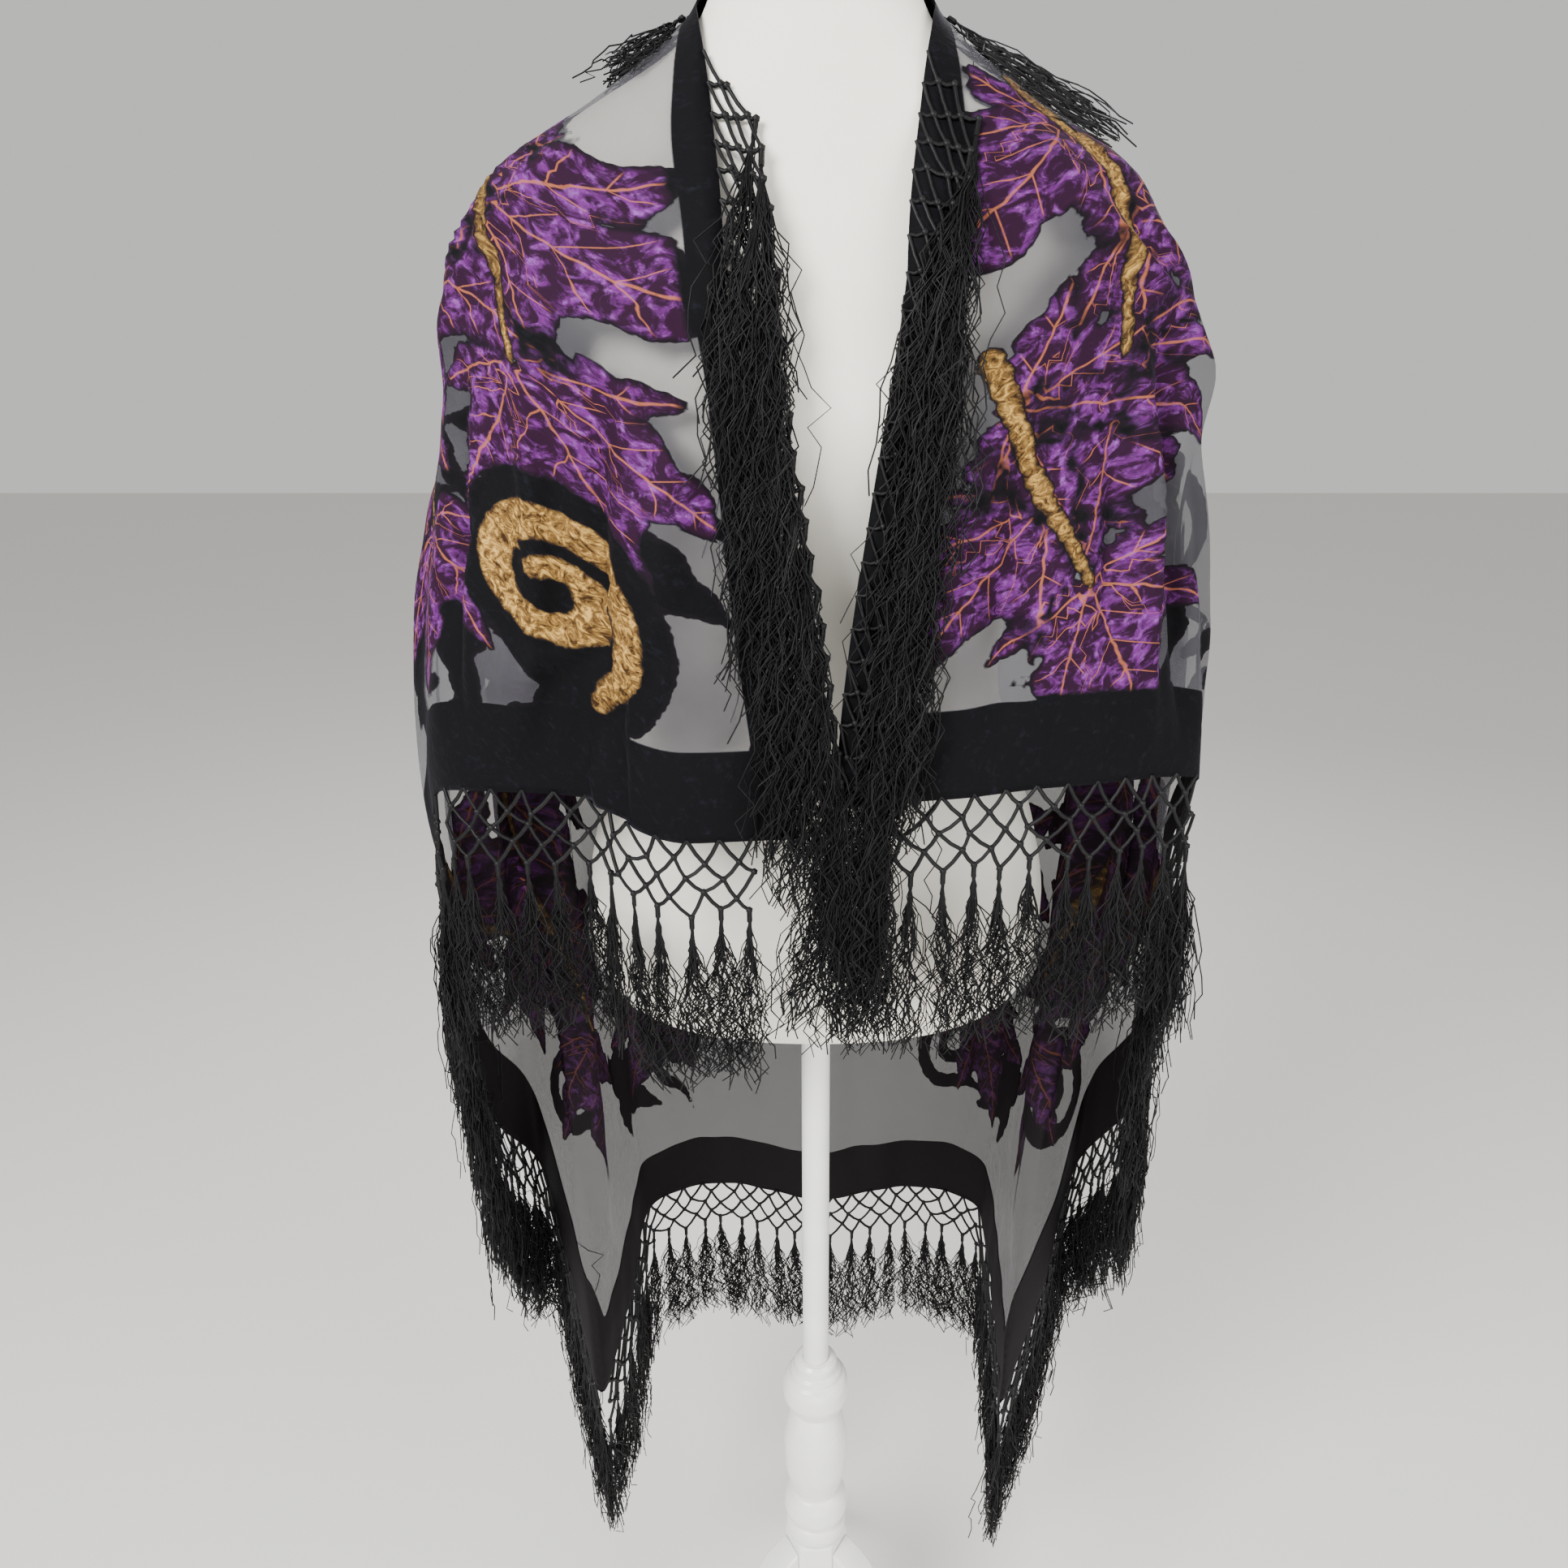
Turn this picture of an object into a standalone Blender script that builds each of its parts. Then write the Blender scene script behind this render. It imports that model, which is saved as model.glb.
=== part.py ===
# Burnout velvet shawl draped as a cape on a limbless dress form, on a post with a turned wooden base.
# Metres, +Z up, -Y is the front. The origin is the middle of the whole object's footprint, on the floor.

import math
from collections import namedtuple

import bmesh
import bpy
import numpy as np
from mathutils import Vector

# Cloth
CLOTH_THICKNESS = 0.0014
SEAM_GAP = 0.0003
SEAM_STEP_BACK = 1.1  # times the gap, on each side of a seam, as the seam is not square to its columns
SEAM_CLEAR_PLACE = 0.004
UPPER_ROW_HEIGHTS = (1.535, 1.516, 1.498, 1.481, 1.466, 1.452, 1.438, 1.421, 1.400, 1.372)
LOWER_ROWS = 7
REST_END_LEVEL = 1.464
HANG_START_LEVEL = 1.340
SHOULDER_LEVEL = 1.372
FRONT_HEM_LEVEL = 1.06
LOW_LEVEL = 0.50
CORNER_PLACE = 0.42
BACK_SEAM_PLACE = 0.35
SIDE_SEAM_PLACE = 0.66
SIDE_HEM_PLACE = 0.745

# Net heading and fringe
NET_DROP = 0.050
NET_GAP = 0.0013
NET_OFF_CLOTH = 0.0035
STRAND_LENGTH = 0.122
STRAND_PITCH = 0.0285
STRAND_WIDTH = 0.0052
STRAND_HALF_THICKNESS = 0.0011
STRAND_FULLNESS = 1.6  # a strand's thickness as a share of the cloth's
STRAND_SWAY = 0.0035
STRAND_UNEVENNESS = 0.06
STRAND_TAPER = ((0.45, 0.85), (1.0, 0.45))  # share of the length, share of the width
EDGE_STRIP_WIDTH = 0.009
EDGE_STRAND_PITCH = 0.027
EDGE_STRAND_WIDTH = 0.0026
EDGE_STRAND_SPREAD = 0.14
EDGE_STRAND_LAYER = 0.0040
EDGE_STRIP_GAP = 0.0012
EDGE_FRINGE_TOP = 1.445
EDGE_FRINGE_BOTTOM = 1.085
EDGE_BESIDE_PLACE = 0.98
EDGE_STRAND_SET_IN = 0.002
EDGE_STRAND_TAPER = ((0.012, 1.0), (0.035, 0.95), (0.062, 0.9), (0.100, 0.8), (0.150, 0.5))  # drop, share of the width
FRONT_END_PLACE = 0.74
FRONT_SAMPLES = 14
NECK_FRINGE_REACH = 0.86
NECK_STRAND_HALF_PLACE = 0.016
NECK_STRIP_INSET = 0.004
NECK_STRAND_TAPER = ((0.065, 0.95), (0.100, 0.8), (0.145, 0.5))  # distance down the cloth, share of the width
NECK_STRANDS = 9
NECK_STRIP_DROP = 0.030

# Dress form and stand
FORM_SEGMENTS = 40
FORM_ROUNDING = 2.3
FORM_BOTTOM = 0.850
NECK_TOP = 1.580
NECK_CAP_HEIGHT = 0.012
NECK_CAP_TOP_RADIUS = 0.038
NECK_CAP_RADIUS = 0.047
NECK_CAP_STEPS = 28
POST_SIDES = 24
BALUSTER_STEPS = 26
SHARP_ANGLE = math.radians(40)
EDGE_SHARE_LIMIT = 0.985
POST_RADIUS = 0.0115
POST_SOCKET_FLOOR = 0.430
BALUSTER_TOP = 0.468
BALUSTER_BOTTOM = 0.250
HUB_APOTHEM = 0.026
HUB_HEIGHT = 0.120
LEG_REACH = 0.240
LEG_THICKNESS = 0.028
LEG_TOP_DROP = 0.010
LEG_DEPTH_AT_HUB = 0.075
LEG_ARCH = 0.004
LEG_NOSE = 0.003
LEG_UPPER_BEND = 0.8
LEG_LOWER_BEND = 1.1
LEG_STEPS = 10
FOOT_LENGTH = 0.036
FOOT_HEIGHT = 0.024
LEG_ANGLES = {"front_left": 210.0, "front_right": 330.0, "back": 90.0}
TOUCH_GAP = 0.0003

FormRing = namedtuple("FormRing", "height half_width front_depth back_depth")
FORM_RINGS = (
    FormRing(0.850, 0.108, 0.062, 0.062),
    FormRing(0.858, 0.139, 0.085, 0.084),
    FormRing(0.874, 0.158, 0.099, 0.098),
    FormRing(0.905, 0.169, 0.108, 0.108),
    FormRing(0.945, 0.170, 0.110, 0.112),
    FormRing(1.000, 0.161, 0.106, 0.108),
    FormRing(1.060, 0.142, 0.096, 0.094),
    FormRing(1.120, 0.128, 0.089, 0.084),
    FormRing(1.180, 0.134, 0.095, 0.086),
    FormRing(1.240, 0.150, 0.109, 0.092),
    FormRing(1.300, 0.164, 0.120, 0.098),
    FormRing(1.350, 0.178, 0.115, 0.101),
    FormRing(1.390, 0.190, 0.104, 0.099),
    FormRing(1.415, 0.191, 0.094, 0.094),
    FormRing(1.432, 0.181, 0.086, 0.089),
    FormRing(1.447, 0.163, 0.079, 0.083),
    FormRing(1.462, 0.139, 0.072, 0.077),
    FormRing(1.477, 0.112, 0.065, 0.070),
    FormRing(1.492, 0.087, 0.059, 0.064),
    FormRing(1.510, 0.068, 0.054, 0.058),
    FormRing(1.535, 0.058, 0.051, 0.053),
    FormRing(1.580, 0.054, 0.049, 0.050),
)

# How far the cloth's middle lies off the form where it rests on it.
Clearance = namedtuple("Clearance", "height distance")
CLOTH_CLEARANCE = (
    Clearance(1.410, 0.0017),
    Clearance(1.440, 0.0013),
    Clearance(1.462, 0.0015),
    Clearance(1.480, 0.0040),
    Clearance(1.500, 0.0058),
    Clearance(1.535, 0.0040),
)

# The cape in plan, from the front edge at one side round the back to the other.
# place runs from -1 to 1, and turn is the direction from the back at shoulder height, in degrees.
# middle is the plan at the front hem's height, low is the plan at the back hem's, and hem is the hem's height.
DrapeFold = namedtuple("DrapeFold", "place turn middle_x middle_y low_x low_y hem")
DRAPE_FOLDS = (
    DrapeFold(-1.000, -170.0, -0.012, -0.150, -0.012, -0.150, 1.050),
    DrapeFold(-0.940, -157.0, -0.078, -0.157, -0.078, -0.157, 1.050),
    DrapeFold(-0.890, -146.0, -0.118, -0.146, -0.118, -0.146, 1.058),
    DrapeFold(-0.850, -137.0, -0.140, -0.124, -0.140, -0.124, 1.066),
    DrapeFold(-0.800, -125.0, -0.204, -0.122, -0.204, -0.122, 1.070),
    DrapeFold(-0.745, -112.0, -0.246, -0.098, -0.250, -0.094, 1.060),
    DrapeFold(-0.690, -101.0, -0.262, -0.058, -0.274, -0.048, 0.960),
    DrapeFold(-0.630, -92.0, -0.261, -0.012, -0.277, 0.020, 0.740),
    DrapeFold(-0.560, -82.0, -0.250, 0.030, -0.256, 0.092, 0.620),
    DrapeFold(-0.490, -72.0, -0.238, 0.052, -0.222, 0.030, 0.530),
    DrapeFold(-0.420, -63.0, -0.225, 0.074, -0.192, -0.026, 0.452),
    DrapeFold(-0.350, -52.0, -0.206, 0.106, -0.176, 0.058, 0.480),
    DrapeFold(-0.280, -42.0, -0.180, 0.134, -0.170, 0.142, 0.508),
    DrapeFold(-0.140, -21.0, -0.096, 0.164, -0.092, 0.177, 0.515),
    DrapeFold(0.000, 0.0, 0.000, 0.168, 0.004, 0.160, 0.508),
    DrapeFold(0.140, 21.0, 0.098, 0.166, 0.096, 0.175, 0.512),
    DrapeFold(0.280, 42.0, 0.184, 0.130, 0.168, 0.146, 0.500),
    DrapeFold(0.350, 52.0, 0.208, 0.106, 0.170, 0.062, 0.468),
    DrapeFold(0.420, 63.0, 0.227, 0.076, 0.168, -0.020, 0.432),
    DrapeFold(0.490, 72.0, 0.240, 0.048, 0.206, 0.030, 0.510),
    DrapeFold(0.560, 82.0, 0.252, 0.044, 0.240, 0.096, 0.610),
    DrapeFold(0.630, 92.0, 0.266, -0.002, 0.271, 0.028, 0.750),
    DrapeFold(0.690, 102.0, 0.249, -0.044, 0.247, -0.032, 0.970),
    DrapeFold(0.745, 113.0, 0.249, -0.096, 0.251, -0.094, 1.068),
    DrapeFold(0.800, 125.0, 0.212, -0.122, 0.212, -0.122, 1.079),
    DrapeFold(0.860, 140.0, 0.150, -0.142, 0.150, -0.142, 1.081),
    DrapeFold(0.930, 155.0, 0.080, -0.152, 0.080, -0.152, 1.077),
    DrapeFold(1.000, 170.0, 0.012, -0.150, 0.012, -0.150, 1.070),
)
SHOULDER_RING = FormRing(SHOULDER_LEVEL, 0.226, 0.130, 0.120)

# The runs of hem that carry a net and fringe of their own.
HEM_RUNS = {
    "fringe_hem_left": (-0.985, -SIDE_HEM_PLACE),
    "fringe_side_left": (-SIDE_HEM_PLACE, -CORNER_PLACE),
    "fringe_back": (-CORNER_PLACE, CORNER_PLACE),
    "fringe_side_right": (CORNER_PLACE, SIDE_HEM_PLACE),
    "fringe_hem_right": (SIDE_HEM_PLACE, 0.985),
}

# The front edges run straight down from the neck to the front hem.
EDGE_TOP_HEIGHT = 1.520
EDGE_TOP_X = 0.065
EDGE_HEM_X = 0.012

BalusterStop = namedtuple("BalusterStop", "height radius")
BALUSTER_PROFILE = (
    BalusterStop(0.4680, 0.0155),
    BalusterStop(0.4640, 0.0190),
    BalusterStop(0.4570, 0.0195),
    BalusterStop(0.4545, 0.0225),
    BalusterStop(0.4500, 0.0235),
    BalusterStop(0.4480, 0.0262),
    BalusterStop(0.4400, 0.0295),
    BalusterStop(0.4290, 0.0300),
    BalusterStop(0.4180, 0.0270),
    BalusterStop(0.4100, 0.0225),
    BalusterStop(0.4085, 0.0205),
    BalusterStop(0.4060, 0.0215),
    BalusterStop(0.3900, 0.0262),
    BalusterStop(0.3650, 0.0295),
    BalusterStop(0.3400, 0.0290),
    BalusterStop(0.3180, 0.0252),
    BalusterStop(0.3060, 0.0215),
    BalusterStop(0.3040, 0.0235),
    BalusterStop(0.2960, 0.0285),
    BalusterStop(0.2840, 0.0300),
    BalusterStop(0.2740, 0.0270),
    BalusterStop(0.2680, 0.0235),
    BalusterStop(0.2660, 0.0275),
    BalusterStop(0.2580, 0.0285),
    BalusterStop(0.2500, 0.0260),
)


def remove_old_objects():
    for old in list(bpy.data.objects):
        bpy.data.objects.remove(old, do_unlink=True)


def make_material(name, color, roughness, metallic=0.0):
    material = bpy.data.materials.new(name)
    material.use_nodes = True
    shader = material.node_tree.nodes["Principled BSDF"]
    shader.inputs["Base Color"].default_value = (*color, 1.0)
    shader.inputs["Roughness"].default_value = roughness
    shader.inputs["Metallic"].default_value = metallic
    material.diffuse_color = (*color, 1.0)
    return material


def add_object(name, data, collection, material):
    obj = bpy.data.objects.new(name, data)
    collection.objects.link(obj)
    data.materials.append(material)
    return obj


def monotone_value(stops, values, at):
    # A smooth curve through the stops that never swings past them.
    steps = np.diff(stops)
    slopes_between = np.diff(values) / steps
    slopes = np.zeros(len(stops))
    slopes[0] = slopes_between[0]
    slopes[-1] = slopes_between[-1]
    for i in range(1, len(stops) - 1):
        before = slopes_between[i - 1]
        after = slopes_between[i]
        if before * after > 0:
            near = 2 * steps[i] + steps[i - 1]
            far = steps[i] + 2 * steps[i - 1]
            slopes[i] = (near + far) / (near / before + far / after)
    at = min(max(at, stops[0]), stops[-1])
    i = min(int(np.searchsorted(stops, at, side="right")) - 1, len(steps) - 1)
    t = (at - stops[i]) / steps[i]
    start = values[i] * (1 + 2 * t) * (1 - t) ** 2 + slopes[i] * steps[i] * t * (1 - t) ** 2
    end = values[i + 1] * t * t * (3 - 2 * t) + slopes[i + 1] * steps[i] * t * t * (t - 1)
    return float(start + end)


def smooth_step(t):
    t = min(max(t, 0.0), 1.0)
    return t * t * (3 - 2 * t)


def table_value(rows, key, field, at):
    stops = np.array([getattr(row, key) for row in rows])
    values = np.array([getattr(row, field) for row in rows])
    return monotone_value(stops, values, at)


def ring_point(ring, turn):
    # A point of a rounded ring. turn is measured from the back, in radians, and is positive towards +X.
    power = 2.0 / FORM_ROUNDING
    sine = math.sin(turn)
    cosine = math.cos(turn)
    depth = ring.back_depth if cosine > 0 else ring.front_depth
    x = ring.half_width * math.copysign(abs(sine) ** power, sine)
    y = depth * math.copysign(abs(cosine) ** power, cosine)
    return Vector((x, y, ring.height))


def form_ring(height):
    values = [table_value(FORM_RINGS, "height", field, height) for field in FormRing._fields[1:]]
    return FormRing(height, *values)


def form_point(turn, height):
    return ring_point(form_ring(height), turn)


def form_normal(turn, height):
    small = 0.001
    around = form_point(turn + small, height) - form_point(turn - small, height)
    up = form_point(turn, height + small) - form_point(turn, height - small)
    return up.cross(around).normalized()


def edge_x(height):
    fall = (EDGE_TOP_HEIGHT - height) / (EDGE_TOP_HEIGHT - FRONT_HEM_LEVEL)
    return EDGE_TOP_X + (EDGE_HEM_X - EDGE_TOP_X) * fall


def edge_turn(height):
    # The direction, from the back, in which the front edge stands at this height.
    share = (edge_x(height) / form_ring(height).half_width) ** (FORM_ROUNDING / 2)
    return math.pi - math.asin(min(share, EDGE_SHARE_LIMIT))


def fold_value(field, place):
    return table_value(DRAPE_FOLDS, "place", field, place)


def resting_point(place, height):
    # The cloth where it lies on the form.
    full_turn = math.radians(DRAPE_FOLDS[-1].turn)
    turn = math.radians(fold_value("turn", place)) * edge_turn(height) / full_turn
    distance = table_value(CLOTH_CLEARANCE, "height", "distance", height)
    return form_point(turn, height) + form_normal(turn, height) * distance


def hanging_point(place, height):
    # The cloth where it hangs free, between its plans at three heights.
    shoulder = ring_point(SHOULDER_RING, math.radians(fold_value("turn", place)))
    levels = np.array([LOW_LEVEL, FRONT_HEM_LEVEL, SHOULDER_LEVEL])
    x = [fold_value("low_x", place), fold_value("middle_x", place), shoulder.x]
    y = [fold_value("low_y", place), fold_value("middle_y", place), shoulder.y]
    return Vector((monotone_value(levels, np.array(x), height), monotone_value(levels, np.array(y), height), height))


def cloth_point(place, height):
    hanging = smooth_step((REST_END_LEVEL - height) / (REST_END_LEVEL - HANG_START_LEVEL))
    if hanging >= 1.0:
        return hanging_point(place, height)
    if hanging <= 0.0:
        return resting_point(place, height)
    return resting_point(place, height).lerp(hanging_point(place, height), hanging)


def cloth_outward(place, height):
    small = 0.002
    around = cloth_point(min(place + small, 1.0), height) - cloth_point(max(place - small, -1.0), height)
    up = cloth_point(place, height + small) - cloth_point(place, height - small)
    return up.cross(around).normalized()


def hem_point(place):
    return cloth_point(place, fold_value("hem", place))


def strand_places(first, last):
    # The middle of each strand from first to last, evenly spaced along the hem.
    samples = np.linspace(first, last, 600)
    points = [hem_point(place) for place in samples]
    lengths = [0.0]
    for before, after in zip(points, points[1:]):
        lengths.append(lengths[-1] + (after - before).length)
    count = max(2, round(lengths[-1] / STRAND_PITCH))
    return [float(np.interp(lengths[-1] * (i + 0.5) / count, lengths, samples)) for i in range(count)]


def cloth_rows(place):
    hem = fold_value("hem", place)
    lower = [SHOULDER_LEVEL + (hem - SHOULDER_LEVEL) * row / LOWER_ROWS for row in range(1, LOWER_ROWS + 1)]
    return [cloth_point(place, height) for height in [*UPPER_ROW_HEIGHTS, *lower]]


def build_cloth(name, first, last, collection, material):
    # A column of the cloth ends over the middle of each strand, so the hem and its net follow one line.
    middles = [place for run in HEM_RUNS.values() for place in strand_places(*run)]
    inside = [place for place in sorted(middles) if first + SEAM_CLEAR_PLACE < place < last - SEAM_CLEAR_PLACE]
    columns = [cloth_rows(place) for place in [first, *inside, last]]
    for edge, beside in ((columns[0], columns[1]), (columns[-1], columns[-2])):
        for row, point in enumerate(edge):
            inward = beside[row] - point
            point += inward.normalized() * SEAM_GAP * SEAM_STEP_BACK
    bm = bmesh.new()
    grid = [[bm.verts.new(point) for point in column] for column in columns]
    for left, right in zip(grid, grid[1:]):
        for row in range(len(left) - 1):
            bm.faces.new((left[row], left[row + 1], right[row + 1], right[row]))
    mesh = bpy.data.meshes.new(name)
    bm.to_mesh(mesh)
    bm.free()
    mesh.shade_smooth()
    obj = add_object(name, mesh, collection, material)
    wall = obj.modifiers.new("wall", "SOLIDIFY")
    wall.thickness = CLOTH_THICKNESS
    wall.offset = 0.0
    return obj


def section(centre, along, outward):
    # The four corners of a strand's or a strip end's section.
    return [centre - along + outward, centre + along + outward, centre + along - outward, centre - along - outward]


def build_fringe(name, strip, strands, collection, material):
    # strip holds pairs of sections: root cells and the stretches between them. strands holds each root's sections.
    bm = bmesh.new()
    rings = [[bm.verts.new(point) for point in ring] for ring in strip]
    for index, (a, b) in enumerate(zip(rings, rings[1:])):
        rooted = index % 2 == 0
        for side in range(4):
            if side == 2 and rooted:
                continue
            after = (side + 1) % 4
            bm.faces.new((a[side], a[after], b[after], b[side]))
        if rooted:
            last = [a[2], b[2], b[3], a[3]]
            for ring in strands[index // 2]:
                new = [bm.verts.new(point) for point in ring]
                for side in range(4):
                    after = (side + 1) % 4
                    bm.faces.new((last[side], last[after], new[after], new[side]))
                last = new
            bm.faces.new(last)
    bm.faces.new(rings[0])
    bm.faces.new(rings[-1])
    bmesh.ops.recalc_face_normals(bm, faces=bm.faces)
    mesh = bpy.data.meshes.new(name)
    bm.to_mesh(mesh)
    bm.free()
    return add_object(name, mesh, collection, material)


def strip_section(top, bottom, outward):
    # Order: top outer, top inner, bottom inner, bottom outer, so side 2 is the edge that the strands leave.
    return [top + outward, top - outward, bottom - outward, bottom + outward]


def hanging_strand(root, along, outward, index, length):
    # Sections down a strand that hangs straight, with a slight sway and a thinner end.
    rings = []
    for step, share in STRAND_TAPER:
        sway = along.normalized() * STRAND_SWAY * math.sin(2.4 * index + 2.0 * step)
        centre = root + Vector((0, 0, -length * step)) + sway
        ring = section(centre, along * share, outward * share)
        rings.append([ring[3], ring[2], ring[1], ring[0]])
    return rings


def build_hem_fringe(name, first, last, collection, material):
    strip = []
    strands = []
    for index, middle in enumerate(strand_places(first, last)):
        small = 0.002
        run = hem_point(middle + small) - hem_point(middle - small)
        reach = run.to_2d().length / (2 * small)
        slope = run.length / run.to_2d().length
        half_place = min(STRAND_WIDTH, 0.5 * STRAND_PITCH / slope) / 2 / reach
        root_ends = []
        for place in (middle - half_place, middle + half_place):
            hem = hem_point(place)
            outward = cloth_outward(place, hem.z)
            outward = Vector((outward.x, outward.y, 0)).normalized() * CLOTH_THICKNESS / 2
            top = hem - Vector((0, 0, NET_GAP * slope))
            bottom = hem - Vector((0, 0, NET_DROP))
            strip.append(strip_section(top, bottom, outward))
            root_ends.append((bottom, outward))
        root = (root_ends[0][0] + root_ends[1][0]) / 2
        along = (root_ends[1][0] - root_ends[0][0]) / 2
        along.z = 0
        length = STRAND_LENGTH * (1 + STRAND_UNEVENNESS * math.sin(5.1 * index))
        strands.append(hanging_strand(root, along, root_ends[0][1] * STRAND_FULLNESS, index, length))
    return build_fringe(name, strip, strands, collection, material)


def front_surface_y(side, x, height):
    # How far forward the cloth lies at this x and height. Inside the V neck it is the front edge's own y.
    places = np.linspace(1.0, FRONT_END_PLACE, FRONT_SAMPLES) * side
    points = [cloth_point(place, height) for place in places]
    return float(np.interp(abs(x), [abs(point.x) for point in points], [point.y for point in points]))


def build_edge_fringe(name, side, collection, material):
    # The net hangs along the upright front edge, and its strands fall over the front.
    top = EDGE_FRINGE_TOP
    bottom = EDGE_FRINGE_BOTTOM
    count = round((top - bottom) / EDGE_STRAND_PITCH)
    strip = []
    strands = []
    for index in range(count):
        height = top + (bottom - top) * index / (count - 1)
        inward = cloth_point(side, height) - cloth_point(side * EDGE_BESIDE_PLACE, height)
        inward = Vector((inward.x, inward.y, 0)).normalized()
        outward = Vector((inward.y, -inward.x, 0)) * -side * CLOTH_THICKNESS / 2
        ends = []
        for offset in (EDGE_STRAND_WIDTH / 2, -EDGE_STRAND_WIDTH / 2):
            edge = cloth_point(side, height + offset)
            near = edge + inward * EDGE_STRIP_GAP
            far = edge + inward * EDGE_STRIP_WIDTH
            strip.append(strip_section(near, far, outward))
            ends.append(far)
        root = (ends[0] + ends[1]) / 2
        half = Vector((side * EDGE_STRAND_WIDTH / 2, 0, 0))
        layer = EDGE_STRAND_LAYER * (1 + index % 2)
        rings = []
        drops = [drop * (1 + STRAND_UNEVENNESS * math.sin(3.3 * index)) for drop, share in EDGE_STRAND_TAPER]
        for drop, (level, share) in zip(drops, EDGE_STRAND_TAPER):
            x = root.x + side * EDGE_STRAND_SPREAD * drop
            z = root.z - drop
            y = min(front_surface_y(side, x, z), root.y) - layer
            centre = Vector((x - side * EDGE_STRAND_SET_IN, y, z))
            ring = section(centre, half * share, Vector((0, -1, 0)) * STRAND_HALF_THICKNESS * share)
            rings.append([ring[3], ring[2], ring[1], ring[0]])
        strands.append(rings)
    return build_fringe(name, strip, strands, collection, material)


def path_down(place, height, length):
    # The height that a path down the cloth reaches after this length.
    walked = 0.0
    step = 0.001
    point = cloth_point(place, height)
    while walked < length:
        height -= step
        after = cloth_point(place, height)
        walked += (after - point).length
        point = after
    return height


def build_neck_fringe(name, collection, material):
    # The net at the neck is turned out and lies on the shawl, over the back and the shoulders.
    first = -NECK_FRINGE_REACH
    last = NECK_FRINGE_REACH
    strip = []
    strands = []
    top_height = UPPER_ROW_HEIGHTS[0] - NECK_STRIP_INSET
    for index in range(NECK_STRANDS):
        middle = first + (last - first) * (index + 0.5) / NECK_STRANDS
        ends = []
        for place in (middle - NECK_STRAND_HALF_PLACE, middle + NECK_STRAND_HALF_PLACE):
            top = cloth_point(place, top_height) + cloth_outward(place, top_height) * NET_OFF_CLOTH
            low_height = path_down(place, top_height, NECK_STRIP_DROP)
            out = cloth_outward(place, low_height)
            bottom = cloth_point(place, low_height) + out * NET_OFF_CLOTH
            strip.append(strip_section(top, bottom, out * CLOTH_THICKNESS / 2))
            ends.append(bottom)
        along = (ends[1] - ends[0]) / 2
        rings = []
        for distance, share in NECK_STRAND_TAPER:
            distance *= 1 + STRAND_UNEVENNESS * math.sin(4.0 * index)
            height = path_down(middle, top_height, distance)
            out = cloth_outward(middle, height)
            centre = cloth_point(middle, height) + out * NET_OFF_CLOTH
            ring = section(centre, along * share, out * STRAND_HALF_THICKNESS * share)
            rings.append([ring[3], ring[2], ring[1], ring[0]])
        strands.append(rings)
    return build_fringe(name, strip, strands, collection, material)


def build_form(collection, material):
    bm = bmesh.new()
    heights = [ring.height for ring in FORM_RINGS]
    rings = []
    for height in heights:
        turns = [2 * math.pi * i / FORM_SEGMENTS for i in range(FORM_SEGMENTS)]
        rings.append([bm.verts.new(form_point(turn, height)) for turn in turns])
    for lower, upper in zip(rings, rings[1:]):
        for i in range(FORM_SEGMENTS):
            after = (i + 1) % FORM_SEGMENTS
            bm.faces.new((lower[i], lower[after], upper[after], upper[i]))
    bm.faces.new(rings[0])
    bm.faces.new(rings[-1])
    bmesh.ops.recalc_face_normals(bm, faces=bm.faces)
    mesh = bpy.data.meshes.new("dress_form")
    bm.to_mesh(mesh)
    bm.free()
    mesh.shade_smooth()
    return add_object("dress_form", mesh, collection, material)


def turned_object(name, profile, steps, collection, material):
    # profile runs from the axis at the top down the outer side to the axis at the bottom.
    bm = bmesh.new()
    verts = [bm.verts.new((radius, 0, height)) for height, radius in profile]
    for a, b in zip(verts, verts[1:]):
        bm.edges.new((a, b))
    mesh = bpy.data.meshes.new(name)
    bm.to_mesh(mesh)
    bm.free()
    obj = add_object(name, mesh, collection, material)
    screw = obj.modifiers.new("turn", "SCREW")
    screw.steps = steps
    screw.render_steps = steps
    screw.use_merge_vertices = True
    screw.merge_threshold = 0.0001
    screw.use_smooth_shade = True
    return obj


def build_neck_cap(collection, material):
    base = NECK_TOP + TOUCH_GAP
    profile = [
        (base + NECK_CAP_HEIGHT, 0.0),
        (base + NECK_CAP_HEIGHT, NECK_CAP_TOP_RADIUS),
        (base + NECK_CAP_HEIGHT * 0.67, NECK_CAP_RADIUS - 0.002),
        (base, NECK_CAP_RADIUS),
        (base, 0.0),
    ]
    return turned_object("neck_cap", profile, NECK_CAP_STEPS, collection, material)


def build_post(collection, material):
    bottom = POST_SOCKET_FLOOR + TOUCH_GAP
    top = FORM_BOTTOM - TOUCH_GAP
    bpy.ops.mesh.primitive_cylinder_add(vertices=POST_SIDES, radius=POST_RADIUS, depth=top - bottom)
    obj = bpy.context.object
    obj.name = "post"
    obj.data.name = "post"
    obj.location = (0, 0, (top + bottom) / 2)
    obj.data.shade_smooth()
    obj.data.set_sharp_from_angle(angle=SHARP_ANGLE)
    obj.data.materials.append(material)
    for old in list(obj.users_collection):
        old.objects.unlink(obj)
    collection.objects.link(obj)
    return obj


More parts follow.
